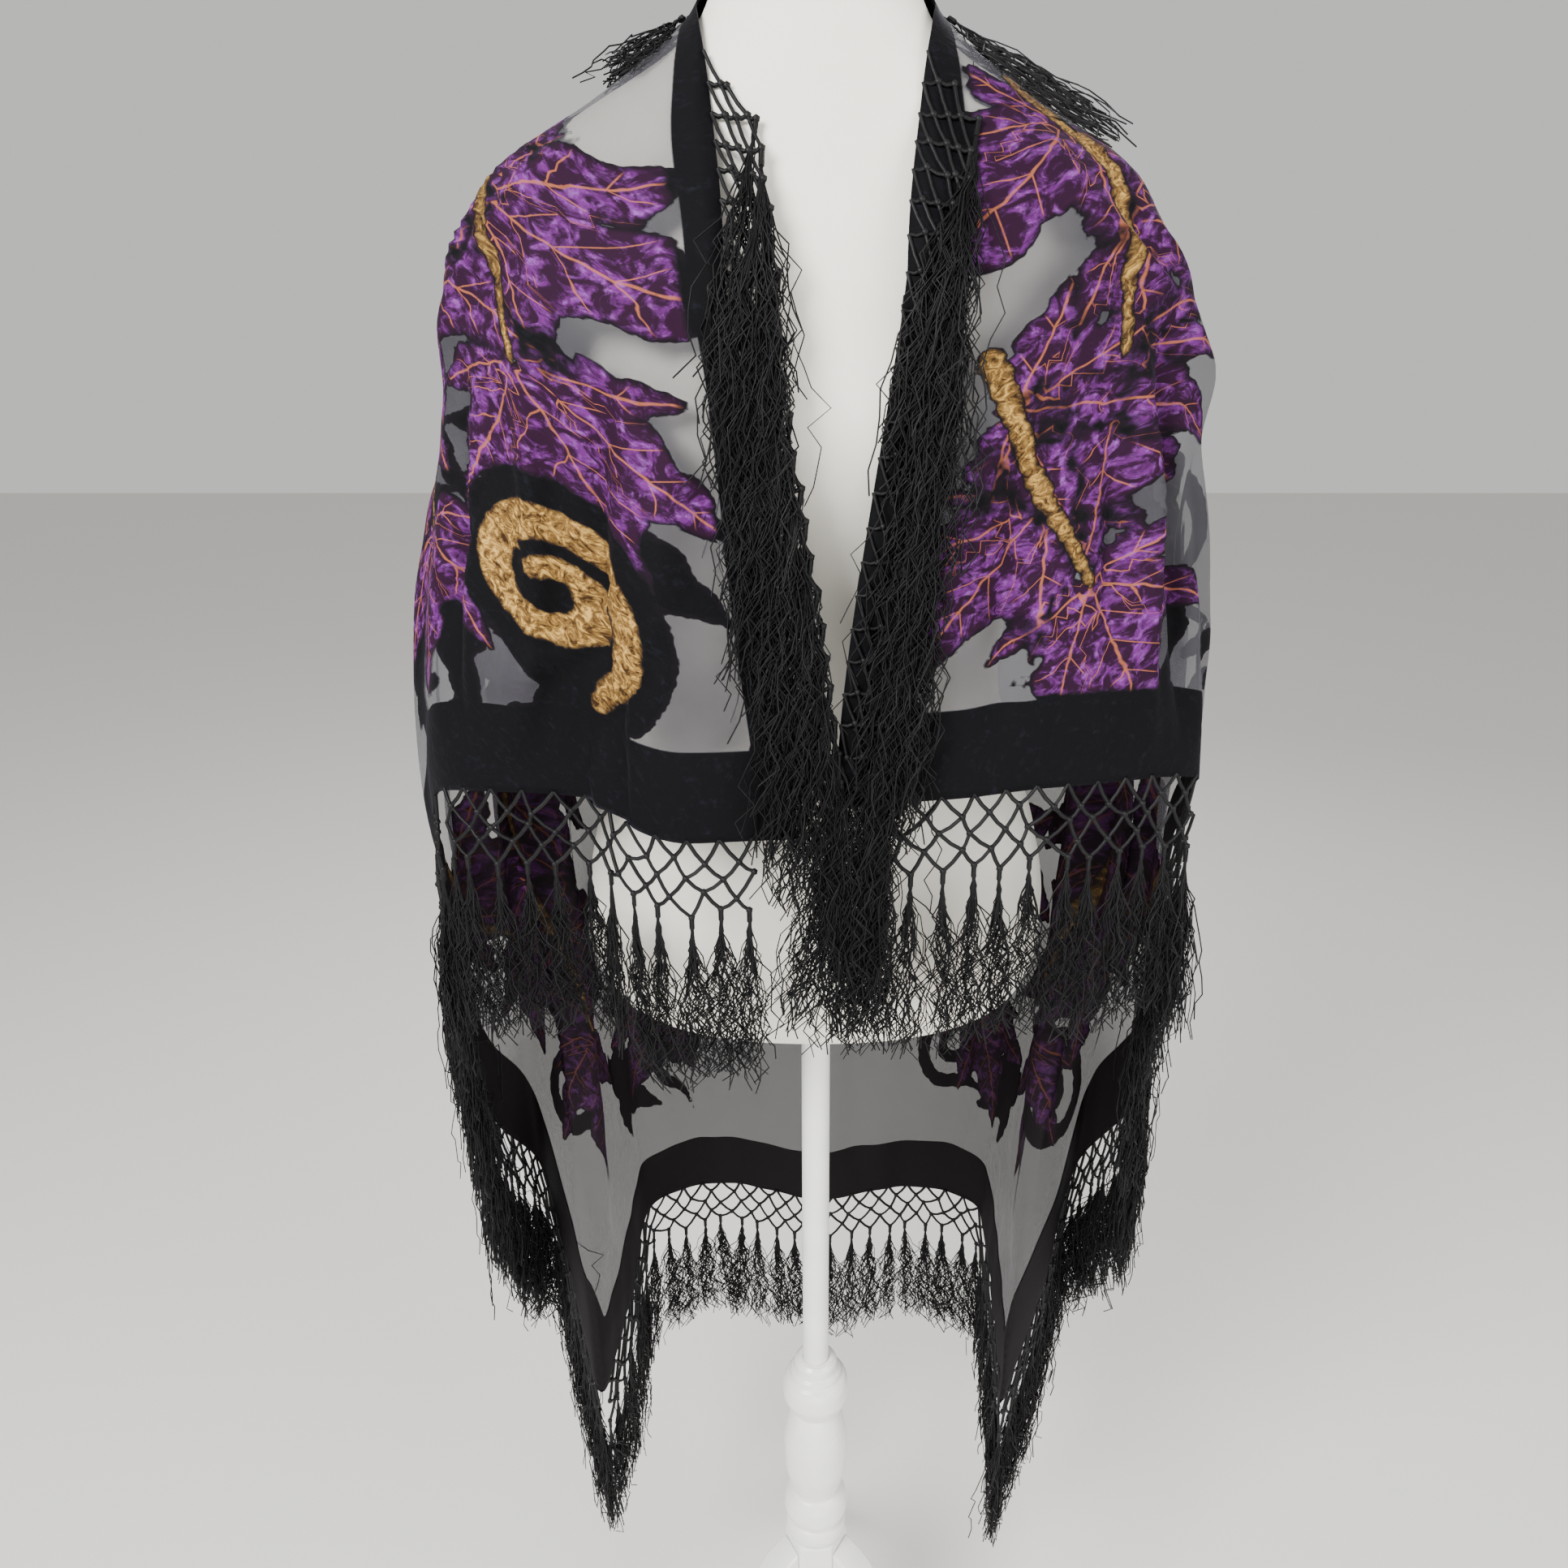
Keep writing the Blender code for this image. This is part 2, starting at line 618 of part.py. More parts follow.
def build_baluster(collection, material):
    socket = POST_RADIUS + TOUCH_GAP
    profile = [(POST_SOCKET_FLOOR, 0.0), (POST_SOCKET_FLOOR, socket), (BALUSTER_TOP, socket)]
    profile += [(stop.height, stop.radius) for stop in BALUSTER_PROFILE]
    profile.append((BALUSTER_BOTTOM, 0.0))
    return turned_object("baluster", profile, BALUSTER_STEPS, collection, material)


def build_hub(collection, material):
    top = BALUSTER_BOTTOM - TOUCH_GAP
    bpy.ops.mesh.primitive_cylinder_add(vertices=6, radius=HUB_APOTHEM / math.cos(math.pi / 6), depth=HUB_HEIGHT)
    obj = bpy.context.object
    obj.name = "base_hub"
    obj.data.name = "base_hub"
    obj.location = (0, 0, top - HUB_HEIGHT / 2)
    obj.rotation_euler = (0, 0, math.radians(30))
    obj.data.materials.append(material)
    for old in list(obj.users_collection):
        old.objects.unlink(obj)
    collection.objects.link(obj)
    return obj


def leg_outline():
    # The leg's side view: out from the hub, down in an S and on to a flat foot. x is the reach, y the height.
    start = HUB_APOTHEM + TOUCH_GAP
    hub_top = BALUSTER_BOTTOM - LEG_TOP_DROP
    points = []
    for i in range(LEG_STEPS + 1):
        t = i / LEG_STEPS
        x = start + (LEG_REACH - LEG_NOSE - start) * t
        points.append((x, FOOT_HEIGHT + (hub_top - FOOT_HEIGHT) * (1 - smooth_step(t ** LEG_UPPER_BEND))))
    points.append((LEG_REACH, FOOT_HEIGHT * 0.5))
    points.append((LEG_REACH - LEG_NOSE, 0.0))
    points.append((LEG_REACH - FOOT_LENGTH, 0.0))
    under_top = hub_top - LEG_DEPTH_AT_HUB
    for i in range(1, LEG_STEPS + 1):
        t = i / LEG_STEPS
        x = LEG_REACH - FOOT_LENGTH + (start - (LEG_REACH - FOOT_LENGTH)) * t
        points.append((x, LEG_ARCH + (under_top - LEG_ARCH) * smooth_step(t ** LEG_LOWER_BEND)))
    return points


def build_leg(name, degrees, collection, material):
    curve = bpy.data.curves.new(name, "CURVE")
    curve.dimensions = "2D"
    curve.fill_mode = "BOTH"
    curve.extrude = LEG_THICKNESS / 2
    outline = leg_outline()
    spline = curve.splines.new("POLY")
    spline.points.add(len(outline) - 1)
    for point, (x, y) in zip(spline.points, outline):
        point.co = (x, y, 0, 1)
    spline.use_cyclic_u = True
    obj = add_object(name, curve, collection, material)
    obj.rotation_euler = (math.radians(90), 0, math.radians(degrees))
    return obj


def centre_on_footprint(collection):
    # Moves everything so that the origin is the middle of the whole box, at its bottom.
    bpy.context.view_layer.update()
    depsgraph = bpy.context.evaluated_depsgraph_get()
    low = Vector((1e9, 1e9, 1e9))
    high = -low
    for obj in collection.objects:
        evaluated = obj.evaluated_get(depsgraph)
        mesh = evaluated.to_mesh()
        for vertex in mesh.vertices:
            point = evaluated.matrix_world @ vertex.co
            low = Vector(map(min, low, point))
            high = Vector(map(max, high, point))
        evaluated.to_mesh_clear()
    shift = Vector((-(low.x + high.x) / 2, -(low.y + high.y) / 2, -low.z))
    for obj in collection.objects:
        obj.location += shift


def main():
    remove_old_objects()
    collection = bpy.data.collections.new("burnout_velvet_shawl_on_dress_form")
    bpy.context.scene.collection.children.link(collection)

    velvet = {
        "shawl_front_left": make_material("burnout velvet, front left", (0.060, 0.022, 0.072), 0.85),
        "shawl_side_left": make_material("burnout velvet, side left", (0.060, 0.022, 0.072), 0.85),
        "shawl_back": make_material("burnout velvet, back", (0.045, 0.040, 0.050), 0.85),
        "shawl_side_right": make_material("burnout velvet, side right", (0.065, 0.024, 0.075), 0.85),
        "shawl_front_right": make_material("burnout velvet, front right", (0.065, 0.024, 0.075), 0.85),
    }
    stretches = {
        "shawl_front_left": (-1.0, -SIDE_SEAM_PLACE),
        "shawl_side_left": (-SIDE_SEAM_PLACE, -BACK_SEAM_PLACE),
        "shawl_back": (-BACK_SEAM_PLACE, BACK_SEAM_PLACE),
        "shawl_side_right": (BACK_SEAM_PLACE, SIDE_SEAM_PLACE),
        "shawl_front_right": (SIDE_SEAM_PLACE, 1.0),
    }
    for name, (first, last) in stretches.items():
        build_cloth(name, first, last, collection, velvet[name])

    for name, (first, last) in HEM_RUNS.items():
        yarn = make_material(name + " yarn", (0.012, 0.012, 0.014), 0.7)
        build_hem_fringe(name, first, last, collection, yarn)
    for name, side in (("fringe_edge_left", -1), ("fringe_edge_right", 1)):
        yarn = make_material(name + " yarn", (0.012, 0.012, 0.014), 0.7)
        build_edge_fringe(name, side, collection, yarn)
    build_neck_fringe("fringe_neck", collection, make_material("fringe_neck yarn", (0.012, 0.012, 0.014), 0.7))

    build_form(collection, make_material("off-white jersey", (0.80, 0.79, 0.76), 0.8))
    build_neck_cap(collection, make_material("painted cap", (0.80, 0.79, 0.77), 0.4))
    build_post(collection, make_material("painted steel tube", (0.82, 0.82, 0.82), 0.35))
    build_baluster(collection, make_material("gloss painted wood", (0.83, 0.82, 0.80), 0.25))
    build_hub(collection, make_material("painted hub", (0.83, 0.82, 0.80), 0.3))
    for place, degrees in LEG_ANGLES.items():
        name = "leg_" + place
        build_leg(name, degrees, collection, make_material(name + " paint", (0.83, 0.82, 0.80), 0.3))

    centre_on_footprint(collection)


main()
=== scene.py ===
import math

import bmesh
import bpy
import numpy as np
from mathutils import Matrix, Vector


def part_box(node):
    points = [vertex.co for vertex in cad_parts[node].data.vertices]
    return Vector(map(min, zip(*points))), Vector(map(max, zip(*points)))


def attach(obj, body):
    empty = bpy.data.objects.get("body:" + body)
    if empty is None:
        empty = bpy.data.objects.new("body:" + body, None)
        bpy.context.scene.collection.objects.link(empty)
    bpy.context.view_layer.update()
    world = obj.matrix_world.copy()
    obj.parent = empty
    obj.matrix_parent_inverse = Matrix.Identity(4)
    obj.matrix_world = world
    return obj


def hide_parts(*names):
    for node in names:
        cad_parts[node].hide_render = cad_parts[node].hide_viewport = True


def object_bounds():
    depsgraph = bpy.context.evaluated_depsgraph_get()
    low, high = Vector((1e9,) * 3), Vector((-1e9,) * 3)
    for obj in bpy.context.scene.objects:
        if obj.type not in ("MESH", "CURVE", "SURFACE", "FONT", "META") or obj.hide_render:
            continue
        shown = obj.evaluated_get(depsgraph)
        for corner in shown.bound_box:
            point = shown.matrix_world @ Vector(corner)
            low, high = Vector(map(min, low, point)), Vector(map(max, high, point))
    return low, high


# A burnout velvet shawl on a limbless dress form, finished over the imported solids.
# Lengths are metres. Shapes are worked out round the post's axis and then moved to where the post stands.
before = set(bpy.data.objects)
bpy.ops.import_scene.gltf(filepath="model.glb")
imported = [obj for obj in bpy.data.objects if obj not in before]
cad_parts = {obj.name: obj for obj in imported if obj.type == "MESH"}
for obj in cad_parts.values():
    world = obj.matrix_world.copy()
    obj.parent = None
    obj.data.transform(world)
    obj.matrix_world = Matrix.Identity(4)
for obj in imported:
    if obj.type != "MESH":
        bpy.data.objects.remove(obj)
cadBox = [[float(x) for x in corner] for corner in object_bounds()]
postLow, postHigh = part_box("post")
axisPlace = np.array([(postLow[0] + postHigh[0]) / 2, (postLow[1] + postHigh[1]) / 2, 0.0])


def hexColour(code):
    parts = [int(code[i:i + 2], 16) / 255 for i in (1, 3, 5)]
    linear = [c / 12.92 if c <= 0.04045 else ((c + 0.055) / 1.055) ** 2.4 for c in parts]
    return (*linear, 1.0)


def addNode(tree, kind, settings=None, inputs=None):
    # Adds a node. An input takes a plain value or another node's output, which is linked.
    node = tree.nodes.new(kind)
    for key, value in (settings or {}).items():
        setattr(node, key, value)
    for key, value in (inputs or {}).items():
        if isinstance(value, bpy.types.NodeSocket):
            tree.links.new(value, node.inputs[key])
        else:
            node.inputs[key].default_value = value
    return node


def smoothStep(t):
    t = np.clip(t, 0.0, 1.0)
    return t * t * (3 - 2 * t)


def smoothCurve(stops, values, at):
    # A smooth curve through the stops that never swings past them. values may hold a column for each of at.
    stops = np.asarray(stops, dtype=float)
    values = np.asarray(values, dtype=float)
    at = np.asarray(at, dtype=float)
    steps = np.diff(stops)
    between = np.diff(values, axis=0) / (steps[:, None] if values.ndim == 2 else steps)
    slopes = np.zeros_like(values)
    slopes[0] = between[0]
    slopes[-1] = between[-1]
    for i in range(1, len(stops) - 1):
        before = between[i - 1]
        after = between[i]
        same = before * after > 0
        near = 2 * steps[i] + steps[i - 1]
        far = steps[i] + 2 * steps[i - 1]
        spread = near / np.where(same, before, 1.0) + far / np.where(same, after, 1.0)
        slopes[i] = np.where(same, (near + far) / np.where(same, spread, 1.0), 0.0)
    at = np.clip(at, stops[0], stops[-1])
    i = np.clip(np.searchsorted(stops, at, side="right") - 1, 0, len(steps) - 1)
    t = (at - stops[i]) / steps[i]
    pick = (i, np.arange(len(at))) if values.ndim == 2 else i
    pickNext = (i + 1, np.arange(len(at))) if values.ndim == 2 else i + 1
    start = values[pick] * (1 + 2 * t) * (1 - t) ** 2 + slopes[pick] * steps[i] * t * (1 - t) ** 2
    end = values[pickNext] * t * t * (3 - 2 * t) + slopes[pickNext] * steps[i] * t * t * (t - 1)
    return start + end


def addPiece(name, points, faces, materials, smooth=True):
    # A new mesh object from points round the post's axis.
    mesh = bpy.data.meshes.new(name)
    mesh.from_pydata((np.asarray(points) + axisPlace).tolist(), [], faces)
    for material in materials:
        mesh.materials.append(material)
    if smooth:
        mesh.shade_smooth()
    obj = bpy.data.objects.new(name, mesh)
    bpy.context.scene.collection.objects.link(obj)
    return obj


def linkPiece(obj, slot, *nodes):
    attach(obj, "root")
    if nodes:
        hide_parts(*nodes)


# Camera: the photograph looks down on the shoulders from close by.
view = {"back": 0.82, "height": 1.35, "pitch": 21.5, "lens": 27.4, "shift": -0.0202}
cameraData = bpy.data.cameras.new("camera")
cameraData.lens = view["lens"]
cameraData.sensor_width = 36
cameraData.shift_x = view["shift"]
cameraData.clip_start = 0.02
camera = bpy.data.objects.new("camera", cameraData)
camera.location = (axisPlace[0], axisPlace[1] - view["back"], view["height"])
camera.rotation_euler = (math.radians(90 - view["pitch"]), 0, 0)
bpy.context.scene.collection.objects.link(camera)
bpy.context.scene.camera = camera

# Studio: soft lamps, a pale world and a pale floor.
lamps = {
    "key": {"place": (-1.3, -1.7, 2.5), "size": 1.3, "watts": 138.0},
    "fill": {"place": (1.7, -1.3, 1.7), "size": 1.6, "watts": 44.0},
    "low": {"place": (0.2, -1.8, 0.5), "size": 1.2, "watts": 16.0},
    "back": {"place": (0.6, 1.8, 2.4), "size": 1.4, "watts": 34.0},
}
for lampName, lamp in lamps.items():
    lampData = bpy.data.lights.new(lampName, "AREA")
    lampData.shape = "DISK"
    lampData.size = lamp["size"]
    lampData.energy = lamp["watts"]
    lampObject = bpy.data.objects.new(lampName, lampData)
    lampObject.location = lamp["place"]
    aim = Vector((0.0, 0.0, 1.15)) - Vector(lamp["place"])
    lampObject.rotation_euler = aim.to_track_quat("-Z", "Y").to_euler()
    bpy.context.scene.collection.objects.link(lampObject)

world = bpy.data.worlds.new("studio")
world.use_nodes = True
world.node_tree.nodes["Background"].inputs["Color"].default_value = hexColour("#f4f3f1")
world.node_tree.nodes["Background"].inputs["Strength"].default_value = 0.75
bpy.context.scene.world = world

floorPaint = bpy.data.materials.new("matt floor paint")
floorPaint.use_nodes = True
floorShader = floorPaint.node_tree.nodes["Principled BSDF"]
floorShader.inputs["Base Color"].default_value = hexColour("#dcdad6")
floorShader.inputs["Roughness"].default_value = 0.9
floorMesh = bpy.data.meshes.new("floor")
floorMesh.from_pydata([(-9, -9, 0), (9, -9, 0), (9, 9, 0), (-9, 9, 0)], [], [(0, 1, 2, 3)])
floorMesh.materials.append(floorPaint)
floor = bpy.data.objects.new("floor", floorMesh)
bpy.context.scene.collection.objects.link(floor)
print("camera, lamps and floor ready")

# The dress form's rings: height, half width, depth at the front, depth at the back.
formRings = np.array([
    (0.850, 0.108, 0.062, 0.062), (0.858, 0.139, 0.085, 0.084), (0.874, 0.158, 0.099, 0.098),
    (0.905, 0.169, 0.108, 0.108), (0.945, 0.170, 0.110, 0.112), (1.000, 0.161, 0.106, 0.108),
    (1.060, 0.142, 0.096, 0.094), (1.120, 0.128, 0.089, 0.084), (1.180, 0.134, 0.095, 0.086),
    (1.240, 0.150, 0.109, 0.092), (1.300, 0.164, 0.120, 0.098), (1.350, 0.178, 0.115, 0.101),
    (1.390, 0.190, 0.104, 0.099), (1.415, 0.191, 0.094, 0.094), (1.432, 0.181, 0.086, 0.089),
    (1.447, 0.163, 0.079, 0.083), (1.462, 0.139, 0.072, 0.077), (1.477, 0.112, 0.065, 0.070),
    (1.492, 0.087, 0.059, 0.064), (1.510, 0.068, 0.054, 0.058), (1.535, 0.058, 0.051, 0.053),
    (1.580, 0.054, 0.049, 0.050),
])
formRounding = 2.3


def ringPlaces(halfWidth, frontDepth, backDepth, height, turn):
    # Points of rounded rings. turn is measured from the back and is positive towards +X.
    power = 2.0 / formRounding
    sine = np.sin(turn)
    cosine = np.cos(turn)
    depth = np.where(cosine > 0, backDepth, frontDepth)
    x = halfWidth * np.sign(sine) * np.abs(sine) ** power
    y = depth * np.sign(cosine) * np.abs(cosine) ** power
    return np.stack([x, y, height + 0 * x], axis=-1)


def formPlaces(turn, height):
    fields = [smoothCurve(formRings[:, 0], formRings[:, i], height) for i in (1, 2, 3)]
    return ringPlaces(*fields, height, turn)


def unit(vectors):
    return vectors / np.maximum(np.linalg.norm(vectors, axis=-1, keepdims=True), 1e-12)


def formNormals(turn, height):
    around = formPlaces(turn + 0.001, height) - formPlaces(turn - 0.001, height)
    up = formPlaces(turn, height + 0.001) - formPlaces(turn, height - 0.001)
    return unit(np.cross(up, around))


# The cape's plan: place from edge to edge, turn from the back in degrees, plan x and y at the front hem's height,
# plan x and y at the back hem's height, and the hem's height.
drapeFolds = np.array([
    (-1.000, -170, -0.012, -0.150, -0.012, -0.150, 1.050), (-0.940, -157, -0.078, -0.157, -0.078, -0.157, 1.050),
    (-0.890, -146, -0.118, -0.146, -0.118, -0.146, 1.058), (-0.850, -137, -0.140, -0.124, -0.140, -0.124, 1.066),
    (-0.800, -125, -0.204, -0.122, -0.204, -0.122, 1.070), (-0.745, -112, -0.246, -0.098, -0.250, -0.094, 1.060),
    (-0.690, -101, -0.262, -0.058, -0.274, -0.048, 0.960), (-0.630, -92, -0.261, -0.012, -0.277, 0.020, 0.740),
    (-0.560, -82, -0.250, 0.030, -0.256, 0.092, 0.620), (-0.490, -72, -0.238, 0.052, -0.222, 0.030, 0.530),
    (-0.420, -63, -0.225, 0.074, -0.192, -0.026, 0.452), (-0.350, -52, -0.206, 0.106, -0.176, 0.058, 0.480),
    (-0.280, -42, -0.180, 0.134, -0.170, 0.142, 0.508), (-0.140, -21, -0.096, 0.164, -0.092, 0.177, 0.515),
    (0.000, 0, 0.000, 0.168, 0.004, 0.160, 0.508), (0.140, 21, 0.098, 0.166, 0.096, 0.175, 0.512),
    (0.280, 42, 0.184, 0.130, 0.168, 0.146, 0.500), (0.350, 52, 0.208, 0.106, 0.170, 0.062, 0.468),
    (0.420, 63, 0.227, 0.076, 0.168, -0.020, 0.432), (0.490, 72, 0.240, 0.048, 0.206, 0.030, 0.510),
    (0.560, 82, 0.252, 0.044, 0.240, 0.096, 0.610), (0.630, 92, 0.266, -0.002, 0.271, 0.028, 0.750),
    (0.690, 102, 0.249, -0.044, 0.247, -0.032, 0.970), (0.745, 113, 0.249, -0.096, 0.251, -0.094, 1.068),
    (0.800, 125, 0.212, -0.122, 0.212, -0.122, 1.079), (0.860, 140, 0.150, -0.142, 0.150, -0.142, 1.081),
    (0.930, 155, 0.080, -0.152, 0.080, -0.152, 1.077), (1.000, 170, 0.012, -0.150, 0.012, -0.150, 1.070),
])
# How far the cloth's middle lies off the form where it rests on it.
clearanceStops = np.array([
    (1.410, 0.0017), (1.440, 0.0013), (1.462, 0.0015),
    (1.480, 0.0040), (1.500, 0.0058), (1.535, 0.0040),
])
drape = {
    "top": 1.535,
    "restEnd": 1.464,
    "hangStart": 1.340,
    "shoulder": (1.372, 0.226, 0.130, 0.120),
    "frontHem": 1.06,
    "low": 0.50,
    "corner": 0.42,
    "edgeTop": (1.520, 0.065),
    "edgeBottom": (1.06, 0.012),
}


def foldValues(column, place):
    return smoothCurve(drapeFolds[:, 0], drapeFolds[:, column], place)


def edgeTurns(height):
    # The direction in which the front edge stands at this height.
    (topHeight, topX), (lowHeight, lowX) = drape["edgeTop"], drape["edgeBottom"]
    x = topX + (lowX - topX) * (topHeight - height) / (topHeight - lowHeight)
    x = np.maximum(x, 0.001)
    share = (x / smoothCurve(formRings[:, 0], formRings[:, 1], height)) ** (formRounding / 2)
    return math.pi - np.arcsin(np.clip(share, 0, 0.985))


def clothPlaces(place, height):
    # The cape's surface, before its creases.
    place = np.asarray(place, dtype=float)
    height = np.asarray(height, dtype=float)
    foldTurn = np.radians(foldValues(1, place))
    turn = foldTurn * edgeTurns(height) / math.radians(170)
    distance = smoothCurve(clearanceStops[:, 0], clearanceStops[:, 1], height)
    resting = formPlaces(turn, height) + formNormals(turn, height) * distance[:, None]
    level, halfWidth, frontDepth, backDepth = drape["shoulder"]
    shoulder = ringPlaces(halfWidth, frontDepth, backDepth, level, foldTurn)
    levels = (drape["low"], drape["frontHem"], level)
    x = smoothCurve(levels, np.stack([foldValues(4, place), foldValues(2, place), shoulder[:, 0]]), height)
    y = smoothCurve(levels, np.stack([foldValues(5, place), foldValues(3, place), shoulder[:, 1]]), height)
    hanging = np.stack([x, y, height], axis=-1)
    share = smoothStep((drape["restEnd"] - height) / (drape["restEnd"] - drape["hangStart"]))[:, None]
    return resting + (hanging - resting) * share


def clothNormals(place, height):
    after = clothPlaces(np.minimum(place + 0.002, 1.0), height)
    around = after - clothPlaces(np.maximum(place - 0.002, -1.0), height)
    up = clothPlaces(place, height + 0.002) - clothPlaces(place, height - 0.002)
    return unit(np.cross(up, around))


# The flat cut: a rectangle whose top long edge goes round the neck and down both fronts.
cut = {
    "width": 1.30,
    "length": 1.10,
    "neckHalf": 0.10,
    "columns": 240,
    "rows": 203,
    "wall": 0.0009,
    "hemBand": 0.060,
    "edgeBand": 0.026,
}
tablePlaces = np.linspace(-1, 1, 401)
tableShares = np.linspace(0, 1, 261)
tableHems = foldValues(6, tablePlaces)
gridPlaces = np.repeat(tablePlaces, len(tableShares))
gridShares = np.tile(tableShares, len(tablePlaces))
gridHeights = drape["top"] + (np.repeat(tableHems, len(tableShares)) - drape["top"]) * gridShares
tablePoints = clothPlaces(gridPlaces, gridHeights).reshape(len(tablePlaces), len(tableShares), 3)
tableWalk = np.zeros(tablePoints.shape[:2])
tableWalk[:, 1:] = np.cumsum(np.linalg.norm(np.diff(tablePoints, axis=1), axis=2), axis=1)
columnLengths = tableWalk[:, -1]
# For each column, the share of its fall at each even share of its length.
fallTable = np.array([np.interp(tableShares, walk / walk[-1], tableShares) for walk in tableWalk])
hemPoints = tablePoints[:, -1]
hemWalk = np.concatenate([[0], np.cumsum(np.linalg.norm(np.diff(hemPoints, axis=0), axis=1))])


def tableLook(table, place, share):
    column = np.clip((place + 1) / 2 * (len(tablePlaces) - 1), 0, len(tablePlaces) - 1.001)
    row = np.clip(share * (len(tableShares) - 1), 0, len(tableShares) - 1.001)
    i = column.astype(int)
    j = row.astype(int)
    s = column - i
    t = row - j
    first = table[i, j] * (1 - t) + table[i, j + 1] * t
    second = table[i + 1, j] * (1 - t) + table[i + 1, j + 1] * t
    return first * (1 - s) + second * s


def heightsAt(place, share):
    # The height that lies this share of the way down a column's length.
    return drape["top"] + (foldValues(6, place) - drape["top"]) * tableLook(fallTable, place, share)


# The hem's line in the flat: down one short side, along the bottom and up the other.
cornerWalks = np.interp([-drape["corner"], 0.0, drape["corner"]], tablePlaces, hemWalk)
flatStops = np.array([0.0, cornerWalks[0], cornerWalks[1], cornerWalks[2], hemWalk[-1]])
sideU = cut["width"] / 2
hemU = np.interp(hemWalk, flatStops, [-sideU, -sideU, 0, sideU, sideU])
hemV = np.interp(hemWalk, flatStops, [0, cut["length"], cut["length"], cut["length"], 0])

flatU = np.linspace(-cut["width"] / 2, cut["width"] / 2, cut["columns"] + 1)
flatV = np.linspace(0, cut["length"], cut["rows"] + 1)
u, v = [grid.ravel() for grid in np.meshgrid(flatU, flatV, indexing="ij")]
lowPlace = np.full(len(u), -1.0)
highPlace = np.full(len(u), 1.0)
for attempt in range(44):
    middle = (lowPlace + highPlace) / 2
    topU = cut["neckHalf"] * middle
    endU = np.interp(middle, tablePlaces, hemU)
    endV = np.interp(middle, tablePlaces, hemV)
    beyond = (endU - topU) * v - endV * (u - topU) < 0
    lowPlace = np.where(beyond, middle, lowPlace)
    highPlace = np.where(beyond, highPlace, middle)
clothPlace = (lowPlace + highPlace) / 2
topU = cut["neckHalf"] * clothPlace
endU = np.interp(clothPlace, tablePlaces, hemU)
endV = np.interp(clothPlace, tablePlaces, hemV)
clothShare = np.clip(np.hypot(u - topU, v) / np.hypot(endU - topU, endV), 0, 1)
clothHeight = heightsAt(clothPlace, clothShare)
clothMiddle = clothPlaces(clothPlace, clothHeight)
print("cloth laid out from its flat cut")

